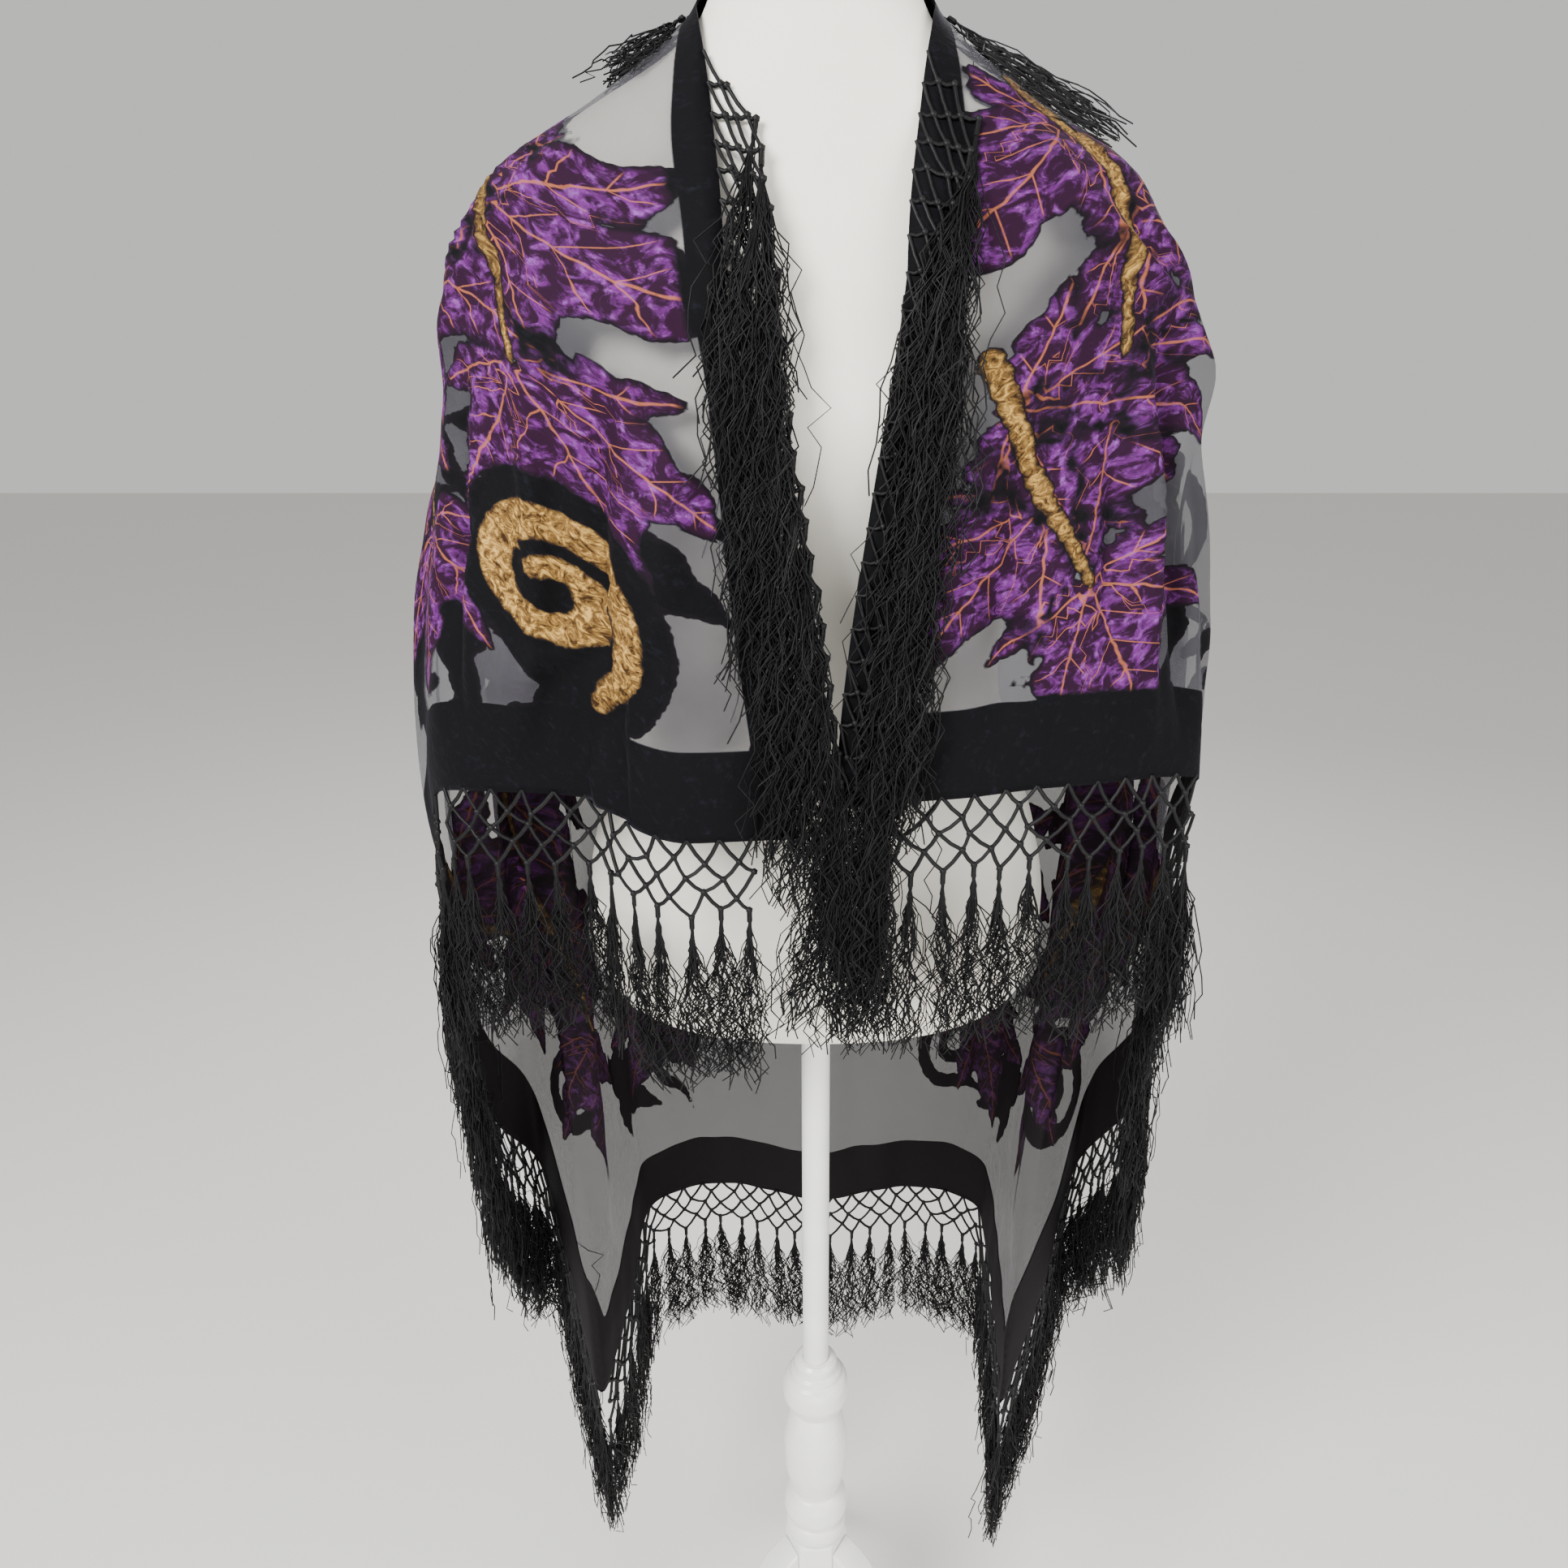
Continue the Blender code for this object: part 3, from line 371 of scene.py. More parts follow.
# Creases, listed one by one: place and height at each end, bow in place, half width, and depth before creaseDepth
# multiplies it. Ridges are positive.
creases = (
    (-0.905, 1.330, -0.862, 1.085, 0.004, 0.011, -0.008),
    (-0.835, 1.360, -0.812, 1.090, -0.010, 0.010, 0.007),
    (-0.960, 1.300, -0.925, 1.120, 0.006, 0.014, 0.005),
    (-0.770, 1.330, -0.778, 1.100, 0.008, 0.009, -0.006),
    (-0.880, 1.452, -0.700, 1.300, 0.020, 0.010, 0.004),
    (-0.800, 1.448, -0.640, 1.250, 0.015, 0.012, 0.006),
    (-0.720, 1.440, -0.600, 1.120, -0.012, 0.013, -0.008),
    (-0.700, 1.250, -0.690, 1.000, 0.006, 0.010, 0.005),
    (-0.640, 1.200, -0.610, 0.860, 0.010, 0.013, 0.007),
    (-0.590, 1.300, -0.560, 0.760, -0.010, 0.014, -0.008),
    (-0.525, 1.240, -0.520, 0.720, 0.008, 0.012, 0.006),
    (-0.460, 1.340, -0.445, 0.640, 0.006, 0.015, 0.008),
    (-0.385, 1.200, -0.380, 0.560, -0.006, 0.013, -0.008),
    (-0.315, 1.300, -0.320, 0.620, 0.004, 0.012, 0.006),
    (-0.230, 1.350, -0.235, 0.560, 0.010, 0.017, -0.010),
    (-0.170, 1.250, -0.180, 0.540, 0.006, 0.013, 0.007),
    (-0.075, 1.380, -0.070, 0.600, -0.008, 0.016, -0.009),
    (0.040, 1.300, 0.055, 0.530, 0.006, 0.014, 0.007),
    (0.110, 1.360, 0.100, 0.640, -0.006, 0.016, -0.008),
    (0.190, 1.320, 0.200, 0.540, 0.008, 0.014, 0.008),
    (0.255, 1.240, 0.250, 0.580, -0.006, 0.013, -0.007),
    (0.330, 1.350, 0.320, 0.600, 0.006, 0.013, 0.006),
    (0.395, 1.260, 0.390, 0.560, 0.004, 0.013, -0.008),
    (0.455, 1.340, 0.452, 0.620, -0.008, 0.015, 0.008),
    (0.520, 1.220, 0.530, 0.700, 0.006, 0.012, -0.006),
    (0.585, 1.320, 0.575, 0.780, 0.008, 0.014, 0.008),
    (0.655, 1.280, 0.640, 0.860, -0.006, 0.012, -0.007),
    (0.715, 1.340, 0.700, 1.020, 0.004, 0.010, 0.006),
    (0.768, 1.360, 0.772, 1.095, 0.006, 0.010, -0.009),
    (0.820, 1.330, 0.838, 1.100, -0.008, 0.013, 0.006),
    (0.892, 1.300, 0.900, 1.100, 0.006, 0.014, -0.006),
    (0.955, 1.340, 0.950, 1.130, 0.004, 0.012, 0.004),
    (0.880, 1.450, 0.690, 1.300, 0.020, 0.011, 0.004),
    (0.790, 1.446, 0.630, 1.220, 0.018, 0.013, 0.006),
    (0.700, 1.438, 0.560, 1.130, -0.010, 0.014, -0.007),
    (0.300, 1.440, 0.170, 1.260, 0.012, 0.013, 0.006),
    (-0.290, 1.440, -0.160, 1.240, -0.012, 0.014, 0.006),
    (-0.868, 1.170, -0.860, 1.040, 0.002, 0.007, 0.0046),
    (-0.892, 1.160, -0.886, 1.040, 0.002, 0.007, -0.0042),
    (-0.930, 1.215, -0.800, 1.130, 0.006, 0.007, 0.0030),
    (-0.945, 1.180, -0.850, 1.105, -0.008, 0.006, -0.0026),
    (-0.975, 1.390, -0.905, 1.230, 0.006, 0.006, 0.0028),
    (-0.820, 1.300, -0.742, 1.150, 0.004, 0.007, -0.0032),
    (-0.905, 1.448, -0.760, 1.360, 0.010, 0.006, 0.0026),
    (-0.860, 1.446, -0.690, 1.345, 0.010, 0.006, 0.0024),
    (0.812, 1.350, 0.806, 1.085, 0.003, 0.006, 0.0050),
    (0.836, 1.330, 0.830, 1.085, 0.003, 0.006, -0.0042),
    (0.965, 1.270, 0.870, 1.180, 0.006, 0.007, 0.0030),
    (0.940, 1.230, 0.860, 1.110, -0.004, 0.006, -0.0026),
    (0.985, 1.400, 0.925, 1.285, 0.005, 0.006, 0.0026),
    (0.910, 1.446, 0.760, 1.350, 0.010, 0.006, 0.0026),
    (0.850, 1.444, 0.680, 1.335, 0.012, 0.006, 0.0024),
)


creaseDepth = 2.0
# A crease is looked for this far, in place, to either side of its ends.
creaseMargin = 0.09


def creaseOffset(points, place):
    # How far each point moves out along its normal, for all the creases together.
    offset = np.zeros(len(points))
    t = np.linspace(0, 1, 15)
    for placeA, heightA, placeB, heightB, bow, halfWidth, depth in creases:
        near = np.abs(place - (placeA + placeB) / 2) < abs(placeA - placeB) / 2 + creaseMargin
        linePlace = placeA + (placeB - placeA) * t + bow * np.sin(math.pi * t)
        line = clothPlaces(linePlace, heightA + (heightB - heightA) * t)
        chosen = points[near]
        best = np.full(len(chosen), 1e9)
        along = np.zeros(len(chosen))
        for k in range(len(line) - 1):
            step = line[k + 1] - line[k]
            share = np.clip((chosen - line[k]) @ step / (step @ step), 0, 1)
            distance = np.linalg.norm(chosen - line[k] - share[:, None] * step, axis=1)
            closer = distance < best
            best = np.where(closer, distance, best)
            along = np.where(closer, (k + share) / (len(line) - 1), along)
        fade = np.sin(math.pi * np.clip(along, 0.0, 1.0)) ** 0.7
        offset[near] += creaseDepth * depth * fade * np.exp(-((best / halfWidth) ** 2))
    return offset


gridShape = (cut["columns"] + 1, cut["rows"] + 1)


def sheetNormals(points):
    grid = points.reshape(*gridShape, 3)
    across = np.gradient(grid, axis=0)
    down = np.gradient(grid, axis=1)
    return unit(np.cross(across, down)).reshape(-1, 3)


offset = creaseOffset(clothMiddle, clothPlace)
# A fine unevenness of thin silk, none where the cloth lies on the form.
rippleHeight = 0.0009
ownLift = {"freeBelow": 1.42, "fade": 0.10, "restAbove": 1.40, "sink": 0.0002}
free = smoothStep((ownLift["freeBelow"] - clothMiddle[:, 2]) / ownLift["fade"])
ripple = np.sin(u * 61 + 2.1 * np.sin(v * 17)) * np.sin(v * 43 + 1.7 * np.sin(u * 23))
offset += free * rippleHeight * ripple
# The resting part may rise off the form but never sinks into it.
resting = clothMiddle[:, 2] > ownLift["restAbove"]
offset = np.where(resting, np.maximum(offset, -ownLift["sink"]), offset)
clothMiddle = clothMiddle + sheetNormals(clothMiddle) * offset[:, None]
print("creases placed")

# The pattern: sprays of lobed purple leaves on gold stems, gold scrolls and black velvet scrolls and leaves,
# in a layout of its own.
# Each spray: start u, v, direction in degrees, length, bend, leaf size, leaves, side of the first leaf.
sprays = (
    (-0.150, 0.090, 184, 0.230, -0.10, 0.165, 3, 1),
    (-0.255, 0.175, 160, 0.210, 0.10, 0.150, 3, -1),
    (-0.130, 0.170, 118, 0.260, 0.12, 0.180, 4, 1),
    (-0.600, 0.420, 72, 0.260, -0.12, 0.165, 3, -1),
    (-0.360, 0.470, 98, 0.330, 0.10, 0.185, 4, 1),
    (-0.120, 0.640, 122, 0.240, -0.12, 0.165, 3, -1),
    (0.190, 0.042, 12, 0.200, 0.10, 0.150, 3, 1),
    (0.375, 0.034, 42, 0.170, -0.14, 0.150, 3, -1),
    (0.130, 0.180, 62, 0.270, -0.12, 0.180, 4, 1),
    (0.590, 0.430, 110, 0.270, 0.12, 0.165, 3, 1),
    (0.350, 0.480, 80, 0.320, -0.10, 0.185, 4, -1),
    (0.130, 0.650, 58, 0.240, 0.12, 0.165, 3, 1),
    (0.000, 0.230, 90, 0.300, 0.08, 0.170, 4, 1),
)
# Each scroll: centre u, v, first radius, last radius, turns, start in degrees, half width, colour.
scrolls = (
    (-0.512, 0.134, 0.056, 0.011, 1.5, 205, 0.0125, "gold"),
    (0.555, 0.180, 0.046, 0.012, 1.3, 320, 0.0085, "black"),
    (-0.560, 0.255, 0.055, 0.014, 1.3, 70, 0.0110, "black"),
    (-0.420, 0.235, 0.048, 0.012, 1.3, 260, 0.0095, "black"),
    (0.430, 0.260, 0.052, 0.012, 1.4, 40, 0.0090, "black"),
    (0.555, 0.300, 0.044, 0.012, 1.2, 200, 0.0085, "black"),
    (-0.245, 0.395, 0.055, 0.012, 1.5, 10, 0.0085, "black"),
    (0.245, 0.400, 0.058, 0.012, 1.5, 170, 0.0085, "black"),
    (-0.500, 0.820, 0.060, 0.012, 1.5, 300, 0.0085, "black"),
    (0.500, 0.820, 0.060, 0.012, 1.5, 240, 0.0085, "black"),
    (-0.210, 0.910, 0.052, 0.012, 1.4, 120, 0.0085, "black"),
    (0.200, 0.915, 0.052, 0.012, 1.4, 60, 0.0085, "black"),
    (-0.010, 0.760, 0.060, 0.014, 1.4, 90, 0.0090, "black"),
    (0.000, 0.130, 0.045, 0.012, 1.3, 270, 0.0080, "black"),
)
# Black velvet leaves that back the gold: base u, v, direction, size.
blackLeaves = (
    (-0.430, 0.105, 172, 0.150),
    (-0.470, 0.190, 150, 0.140),
    (-0.590, 0.120, 100, 0.120),
    (-0.470, 0.270, 150, 0.110),
    (0.600, 0.130, 100, 0.100),
    (-0.330, 0.330, 60, 0.120),
    (0.330, 0.340, 120, 0.120),
    (-0.340, 0.930, 350, 0.120),
    (0.340, 0.930, 190, 0.120),
)
# How the sprays and scrolls are drawn.
drawing = {
    "stem": 0.0068,
    "stemThins": 0.0030,
    "leafTurn": 58,
    "leafShrinks": 0.12,
    "leafVaries": 0.08,
    "teeth": 0.34,
    "tail": 0.055,
    "tailTurn": 28,
    "leafGap": 0.0004,
    "bandGap": 0.002,
    "blackUnderLeaf": 0.002,
}
# A leaf's lobes: angle from its axis, share of its length, width over length.
lobes = ((0, 1.00, 0.40), (43, 0.80, 0.37), (-43, 0.80, 0.37), (88, 0.52, 0.38), (-88, 0.52, 0.38))
outside = -0.2
leafReach = np.full(len(u), outside)
leafSecond = np.full(len(u), outside)
leafAlong = np.zeros(len(u))
leafAcross = np.zeros(len(u))
goldReach = np.full(len(u), outside)
blackReach = np.full(len(u), outside)
# The black velvet round a gold scroll reaches this far beyond it.
scrollGround = 0.017
scrollReach = np.full(len(u), outside)


def leafShape(baseU, baseV, degrees, size, seed):
    # A lobed leaf: how far inside it each point lies, and where along and across the nearest lobe.
    best = np.full(len(u), outside)
    along = np.zeros(len(u))
    across = np.zeros(len(u))
    for number, (turn, share, ratio) in enumerate(lobes):
        length = size * share
        angle = math.radians(degrees + turn + 5 * math.sin(seed + number))
        x = (u - baseU) * math.cos(angle) + (v - baseV) * math.sin(angle)
        y = -(u - baseU) * math.sin(angle) + (v - baseV) * math.cos(angle)
        y = y - 0.10 * math.sin(1.7 * seed + number) * length * (x / length) ** 2
        s = np.clip(x / length, 0, 1)
        teeth = np.abs(np.sin(math.pi * (3.5 * s + 0.23 * seed + 0.5 * (y > 0)))) - 0.5
        half = length * ratio / 2 * np.sin(math.pi * s ** 0.70) * (1 + drawing["teeth"] * teeth)
        past = np.maximum(np.maximum(-x, x - length), 0)
        reach = np.where(past > 0, -np.hypot(past, y), (half - np.abs(y)) * 0.85)
        better = reach > best
        along = np.where(better, x, along)
        across = np.where(better, y, across)
        best = np.where(better, reach, best)
    return best, along, across


def addLeaf(*shape):
    reach, along, across = leafShape(*shape)
    better = reach > leafReach
    leafSecond[:] = np.where(better, leafReach, np.maximum(leafSecond, reach))
    leafAlong[:] = np.where(better, along, leafAlong)
    leafAcross[:] = np.where(better, across, leafAcross)
    leafReach[:] = np.where(better, reach, leafReach)


def addStroke(reach, line, halfWidths):
    # A stroke along a line of points in the flat.
    for k in range(len(line) - 1):
        step = line[k + 1] - line[k]
        share = np.clip(((u - line[k, 0]) * step[0] + (v - line[k, 1]) * step[1]) / (step @ step), 0, 1)
        distance = np.hypot(u - line[k, 0] - share * step[0], v - line[k, 1] - share * step[1])
        half = halfWidths[k] + (halfWidths[k + 1] - halfWidths[k]) * share
        reach[:] = np.maximum(reach, half - distance)


def spiralLine(centreU, centreV, first, last, turns, degrees, count=44):
    t = np.linspace(0, 1, count)
    angle = math.radians(degrees) + 2 * math.pi * turns * t
    radius = first + (last - first) * t ** 0.85
    return np.stack([centreU + radius * np.cos(angle), centreV + radius * np.sin(angle)], axis=1)


for number, (startU, startV, degrees, length, bend, leafSize, leaves, firstSide) in enumerate(sprays):
    t = np.linspace(0, 1, 19)
    angle = math.radians(degrees)
    along = length * t
    aside = bend * length * (2 * t * (1 - t) + t * t)
    line = np.stack([
        startU + along * math.cos(angle) - aside * math.sin(angle),
        startV + along * math.sin(angle) + aside * math.cos(angle),
    ], axis=1)
    addStroke(goldReach, line, drawing["stem"] - drawing["stemThins"] * t)
    for i in range(leaves):
        at = min((i + 0.55) / (leaves - 0.45), 1.0)
        k = min(int(at * 18), 17)
        heading = math.degrees(math.atan2(*(line[k + 1] - line[k])[::-1]))
        side = firstSide * (1 if i % 2 else -1) * (i < leaves - 1)
        uneven = 1 + drawing["leafVaries"] * math.sin(3.7 * i + 2 * number)
        size = leafSize * (1 - drawing["leafShrinks"] * at) * uneven
        base = line[k] + (line[k + 1] - line[k]) * (at * 18 - k)
        addLeaf(*base, heading + side * drawing["leafTurn"], size, 1.3 * number + 0.9 * i)
for centreU, centreV, first, last, turns, degrees, half, colour in scrolls:
    # A scroll swells past its start and thins towards its eye, and a tail leaves its start.
    line = spiralLine(centreU, centreV, first, last, turns, degrees)
    t = np.linspace(0, 1, len(line))
    target = scrollReach if colour == "gold" else blackReach
    addStroke(target, line, half * (0.55 + 0.45 * np.sin(math.pi * np.clip(0.25 + 0.75 * t, 0, 1))))
    t = np.linspace(0, 1, 8)
    heading = np.radians(degrees - 90 + drawing["tailTurn"] * t)
    tail = line[0] + drawing["tail"] * t[:, None] * np.stack([np.cos(heading), np.sin(heading)], axis=1)
    addStroke(target, tail, half * (0.85 - 0.7 * t))
for number, shape in enumerate(blackLeaves):
    blackReach = np.maximum(blackReach, leafShape(*shape, 0.8 * number)[0])
goldReach = np.maximum(goldReach, scrollReach)
blackReach = np.maximum(blackReach, scrollReach + scrollGround)
leafReach = np.minimum(leafReach, -scrollReach - scrollGround)
# Leaves that meet keep a thin dark line of black pile between them.
blackReach = np.maximum(blackReach, leafReach - drawing["blackUnderLeaf"])
leafReach = np.minimum(leafReach, (leafReach - leafSecond) * 0.5 - drawing["leafGap"])
sideDistance = cut["width"] / 2 - np.abs(u)
bottomDistance = cut["length"] - v
# Round the neck and shoulders the flat is drawn wider, so the band starts narrower there and has its whole
# width only towards the front hems.
neckBand = {"share": 0.48, "until": 0.34, "whole": 0.56}
bandGrowth = smoothStep((np.abs(u) - neckBand["until"]) / (neckBand["whole"] - neckBand["until"]))
edgeBandHere = cut["edgeBand"] * (neckBand["share"] + (1 - neckBand["share"]) * bandGrowth)
bandReach = np.maximum(cut["hemBand"] - np.minimum(sideDistance, bottomDistance), edgeBandHere - v)
leafReach = np.minimum(leafReach, -bandReach - drawing["bandGap"])
goldReach = np.minimum(goldReach, -bandReach - drawing["bandGap"])
print("pattern drawn on the flat cut")

# The velvet's colours, with painted sheen on the crushed pile and painted shade where the length hangs behind.
# Scales are
# one over a size in metres: crushed patches 11 mm, nap 1.6 mm, which is coarser than life so that it shows.
velvetLook = {
    "sheer": "#5c5b60",
    "black": "#030305",
    "blackSheen": "#11121a",
    "plum": "#21091f",
    "violetSheen": "#5b2167",
    "lilacHighlight": "#824c96",
    "vein": "#9b5a3c",
    "goldDark": "#2c1b0b",
    "goldMid": "#70532a",
    "goldLight": "#bb944e",
    "sheerAlpha": 0.52,
    "shadeBehindAlpha": 0.86,
    "shadeBehind": "#1b1a1d",
    "sheerLow": "#3c3b40",
    "edgeShade": "#0b070c",
    "wrongSide": "#151113",
    "wrongShare": 0.74,
    "shadeBehindStart": 0.42,
    "shadeBehindFull": 0.74,
    "sheenMottle": 1 / 0.011,
    "nap": 1 / 0.0016,
    "veinPitch": 0.0230,
}


def velvetMaterial(name, wrongSide):
    # Silk chiffon with a rayon pile left in the pattern by an acid print: the pile is deep and mottled with
    # painted sheen, with painted shade along its cut edges, and the ground lets light through. The wrong side has
    # no pile, so it is flatter and darker.
    material = bpy.data.materials.new(name)
    material.use_nodes = True
    tree = material.node_tree
    shader = tree.nodes["Principled BSDF"]
    place = addNode(tree, "ShaderNodeTexCoord").outputs["Object"]
    flat = addNode(tree, "ShaderNodeAttribute", {"attribute_name": "cutPlace"}).outputs["Vector"]
    leaf = addNode(tree, "ShaderNodeAttribute", {"attribute_name": "leafReach"}).outputs["Fac"]
    gold = addNode(tree, "ShaderNodeAttribute", {"attribute_name": "goldReach"}).outputs["Fac"]
    black = addNode(tree, "ShaderNodeAttribute", {"attribute_name": "blackReach"}).outputs["Fac"]
    band = addNode(tree, "ShaderNodeAttribute", {"attribute_name": "bandReach"}).outputs["Fac"]
    band = addNode(
        tree, "ShaderNodeMapRange", None,
        {"Value": band, "From Min": -0.0003, "From Max": 0.0003},
    ).outputs[0]
    veinPlace = addNode(tree, "ShaderNodeAttribute", {"attribute_name": "leafPlace"}).outputs["Vector"]
    # A slight waver of the printed outlines, 1 mm over 9 mm.
    waver = addNode(
        tree, "ShaderNodeTexNoise", None,
        {"Vector": flat, "Scale": 1 / 0.009, "Detail": 2.0},
    ).outputs["Fac"]
    waver = addNode(
        tree, "ShaderNodeMapRange", None,
        {"Value": waver, "From Min": 0.3, "From Max": 0.7, "To Min": -0.0011, "To Max": 0.0011},
    ).outputs[0]
    masks = []
    for reach in (leaf, gold, black):
        wavered = addNode(tree, "ShaderNodeMath", {"operation": "ADD"}, {0: reach, 1: waver}).outputs[0]
        mask = addNode(
            tree, "ShaderNodeMapRange", None,
            {"Value": wavered, "From Min": -0.0003, "From Max": 0.0003},
        ).outputs[0]
        core = addNode(
            tree, "ShaderNodeMapRange", None,
            {"Value": wavered, "From Min": 0.0004, "From Max": 0.0034},
        ).outputs[0]
        masks.append((mask, core))
    (leafMask, leafCore), (goldMask, goldCore), (blackMask, blackCore) = masks
    # Crushed pile: painted sheen, the colour lighter in random patches where the pile would lean to the light.
    crushSheen = addNode(
        tree, "ShaderNodeTexNoise", None,
        {
            "Vector": flat, "Scale": velvetLook["sheenMottle"], "Detail": 5.0, "Roughness": 0.62,
            "Distortion": 0.9,
        },
    ).outputs["Fac"]
    crushSheen = addNode(
        tree, "ShaderNodeMapRange", {"interpolation_type": "SMOOTHSTEP"},
        {"Value": crushSheen, "From Min": 0.45, "From Max": 0.67},
    ).outputs[0]
    fine = addNode(
        tree, "ShaderNodeTexNoise", None,
        {"Vector": flat, "Scale": 1 / 0.005, "Detail": 3.0, "Roughness": 0.7},
    ).outputs["Fac"]
    fine = addNode(
        tree, "ShaderNodeMapRange", None,
        {"Value": fine, "From Min": 0.48, "From Max": 0.74},
    ).outputs[0]
    violetSheen = addNode(
        tree, "ShaderNodeMix", {"data_type": "RGBA"},
        {0: crushSheen, 6: hexColour(velvetLook["plum"]), 7: hexColour(velvetLook["violetSheen"])},
    ).outputs[2]
    # Painted highlight: lilac glints where the fine nap falls inside the painted sheen patches.
    glint = addNode(tree, "ShaderNodeMath", {"operation": "MULTIPLY"}, {0: crushSheen, 1: fine}).outputs[0]
    violetSheen = addNode(
        tree, "ShaderNodeMix", {"data_type": "RGBA"},
        {0: glint, 6: violetSheen, 7: hexColour(velvetLook["lilacHighlight"])},
    ).outputs[2]
    # Veins: a midrib and side veins that leave it at a slant and die out before the leaf's edge.
    parts = addNode(tree, "ShaderNodeSeparateXYZ", None, {0: veinPlace})
    wander = addNode(
        tree, "ShaderNodeTexNoise", None,
        {"Vector": flat, "Scale": 1 / 0.012, "Detail": 1.0},
    ).outputs["Fac"]
    wander = addNode(
        tree, "ShaderNodeMath", {"operation": "MULTIPLY_ADD"},
        {0: wander, 1: 0.005, 2: -0.0025},
    ).outputs[0]
    across = addNode(
        tree, "ShaderNodeMath", {"operation": "ADD"},
        {0: parts.outputs[1], 1: wander},
    ).outputs[0]
    across = addNode(tree, "ShaderNodeMath", {"operation": "ABSOLUTE"}, {0: across}).outputs[0]
    rib = addNode(
        tree, "ShaderNodeMapRange", None,
        {"Value": across, "From Min": 0.0010, "From Max": 0.0004},
    ).outputs[0]
    slant = addNode(
        tree, "ShaderNodeMath", {"operation": "MULTIPLY_ADD"},
        {0: across, 1: -0.95, 2: parts.outputs[0]},
    ).outputs[0]
    slant = addNode(tree, "ShaderNodeMath", {"operation": "ADD"}, {0: slant, 1: wander}).outputs[0]
    phase = addNode(
        tree, "ShaderNodeMath", {"operation": "PINGPONG"},
        {0: slant, 1: velvetLook["veinPitch"] / 2},
    ).outputs[0]
    sideVein = addNode(
        tree, "ShaderNodeMapRange", None,
        {"Value": phase, "From Min": 0.0007, "From Max": 0.0002},
    ).outputs[0]
    dying = addNode(
        tree, "ShaderNodeMapRange", None,
        {"Value": leaf, "From Min": 0.0025, "From Max": 0.0065},
    ).outputs[0]
    sideVein = addNode(
        tree, "ShaderNodeMath", {"operation": "MULTIPLY"},
        {0: sideVein, 1: dying},
    ).outputs[0]
    veins = addNode(tree, "ShaderNodeMath", {"operation": "MAXIMUM"}, {0: rib, 1: sideVein}).outputs[0]
    veinStrength = addNode(
        tree, "ShaderNodeMapRange", None,
        {"Value": fine, "To Min": 0.70, "To Max": 0.36},
    ).outputs[0]
    veins = addNode(
        tree, "ShaderNodeMath", {"operation": "MULTIPLY"},
        {0: veins, 1: veinStrength},
    ).outputs[0]
    leafColour = addNode(
        tree, "ShaderNodeMix", {"data_type": "RGBA"},
        {0: veins, 6: violetSheen, 7: hexColour(velvetLook["vein"])},
    ).outputs[2]
    # Gold: brown streaks in a light gold.
    streak = addNode(
        tree, "ShaderNodeTexNoise", None,
        {"Vector": flat, "Scale": 1 / 0.007, "Detail": 4.0, "Roughness": 0.7, "Distortion": 1.6},
    ).outputs["Fac"]
    goldLow = addNode(
        tree, "ShaderNodeMapRange", None,
        {"Value": streak, "From Min": 0.36, "From Max": 0.50},
    ).outputs[0]
    goldHigh = addNode(
        tree, "ShaderNodeMapRange", None,
        {"Value": streak, "From Min": 0.50, "From Max": 0.64},
    ).outputs[0]
    goldColour = addNode(
        tree, "ShaderNodeMix", {"data_type": "RGBA"},
        {0: goldLow, 6: hexColour(velvetLook["goldDark"]), 7: hexColour(velvetLook["goldMid"])},
    ).outputs[2]
    goldColour = addNode(
        tree, "ShaderNodeMix", {"data_type": "RGBA"},
        {0: goldHigh, 6: goldColour, 7: hexColour(velvetLook["goldLight"])},
    ).outputs[2]
    # The black pile takes a painted sheen from the same glints.
    blackColour = addNode(
        tree, "ShaderNodeMix", {"data_type": "RGBA"},
        {0: glint, 6: hexColour(velvetLook["black"]), 7: hexColour(velvetLook["blackSheen"])},
    ).outputs[2]
    # The chiffon ground has a faint uneven depth.
    cloudy = addNode(
        tree, "ShaderNodeTexNoise", None,
        {"Vector": flat, "Scale": 1 / 0.05, "Detail": 2.0},
    ).outputs["Fac"]
    ground = addNode(
        tree, "ShaderNodeMix", {"data_type": "RGBA"},
        {0: cloudy, 6: hexColour(velvetLook["sheerLow"]), 7: hexColour(velvetLook["sheer"])},
    ).outputs[2]
    # Painted shade: in the length that hangs behind, the ground is painted darker and made more opaque.
    shadeBehind = addNode(tree, "ShaderNodeSeparateXYZ", None, {0: flat}).outputs[1]
    shadeBehind = addNode(
        tree, "ShaderNodeMapRange", None,
        {"Value": shadeBehind, "From Min": velvetLook["shadeBehindStart"], "From Max": velvetLook["shadeBehindFull"]},
    ).outputs[0]
    colour = addNode(
        tree, "ShaderNodeMix", {"data_type": "RGBA"},
        {0: shadeBehind, 6: ground, 7: hexColour(velvetLook["shadeBehind"])},
    ).outputs[2]
    laidOver = (
        (blackMask, blackCore, blackColour),
        (leafMask, leafCore, leafColour),
        (goldMask, goldCore, goldColour),
    )
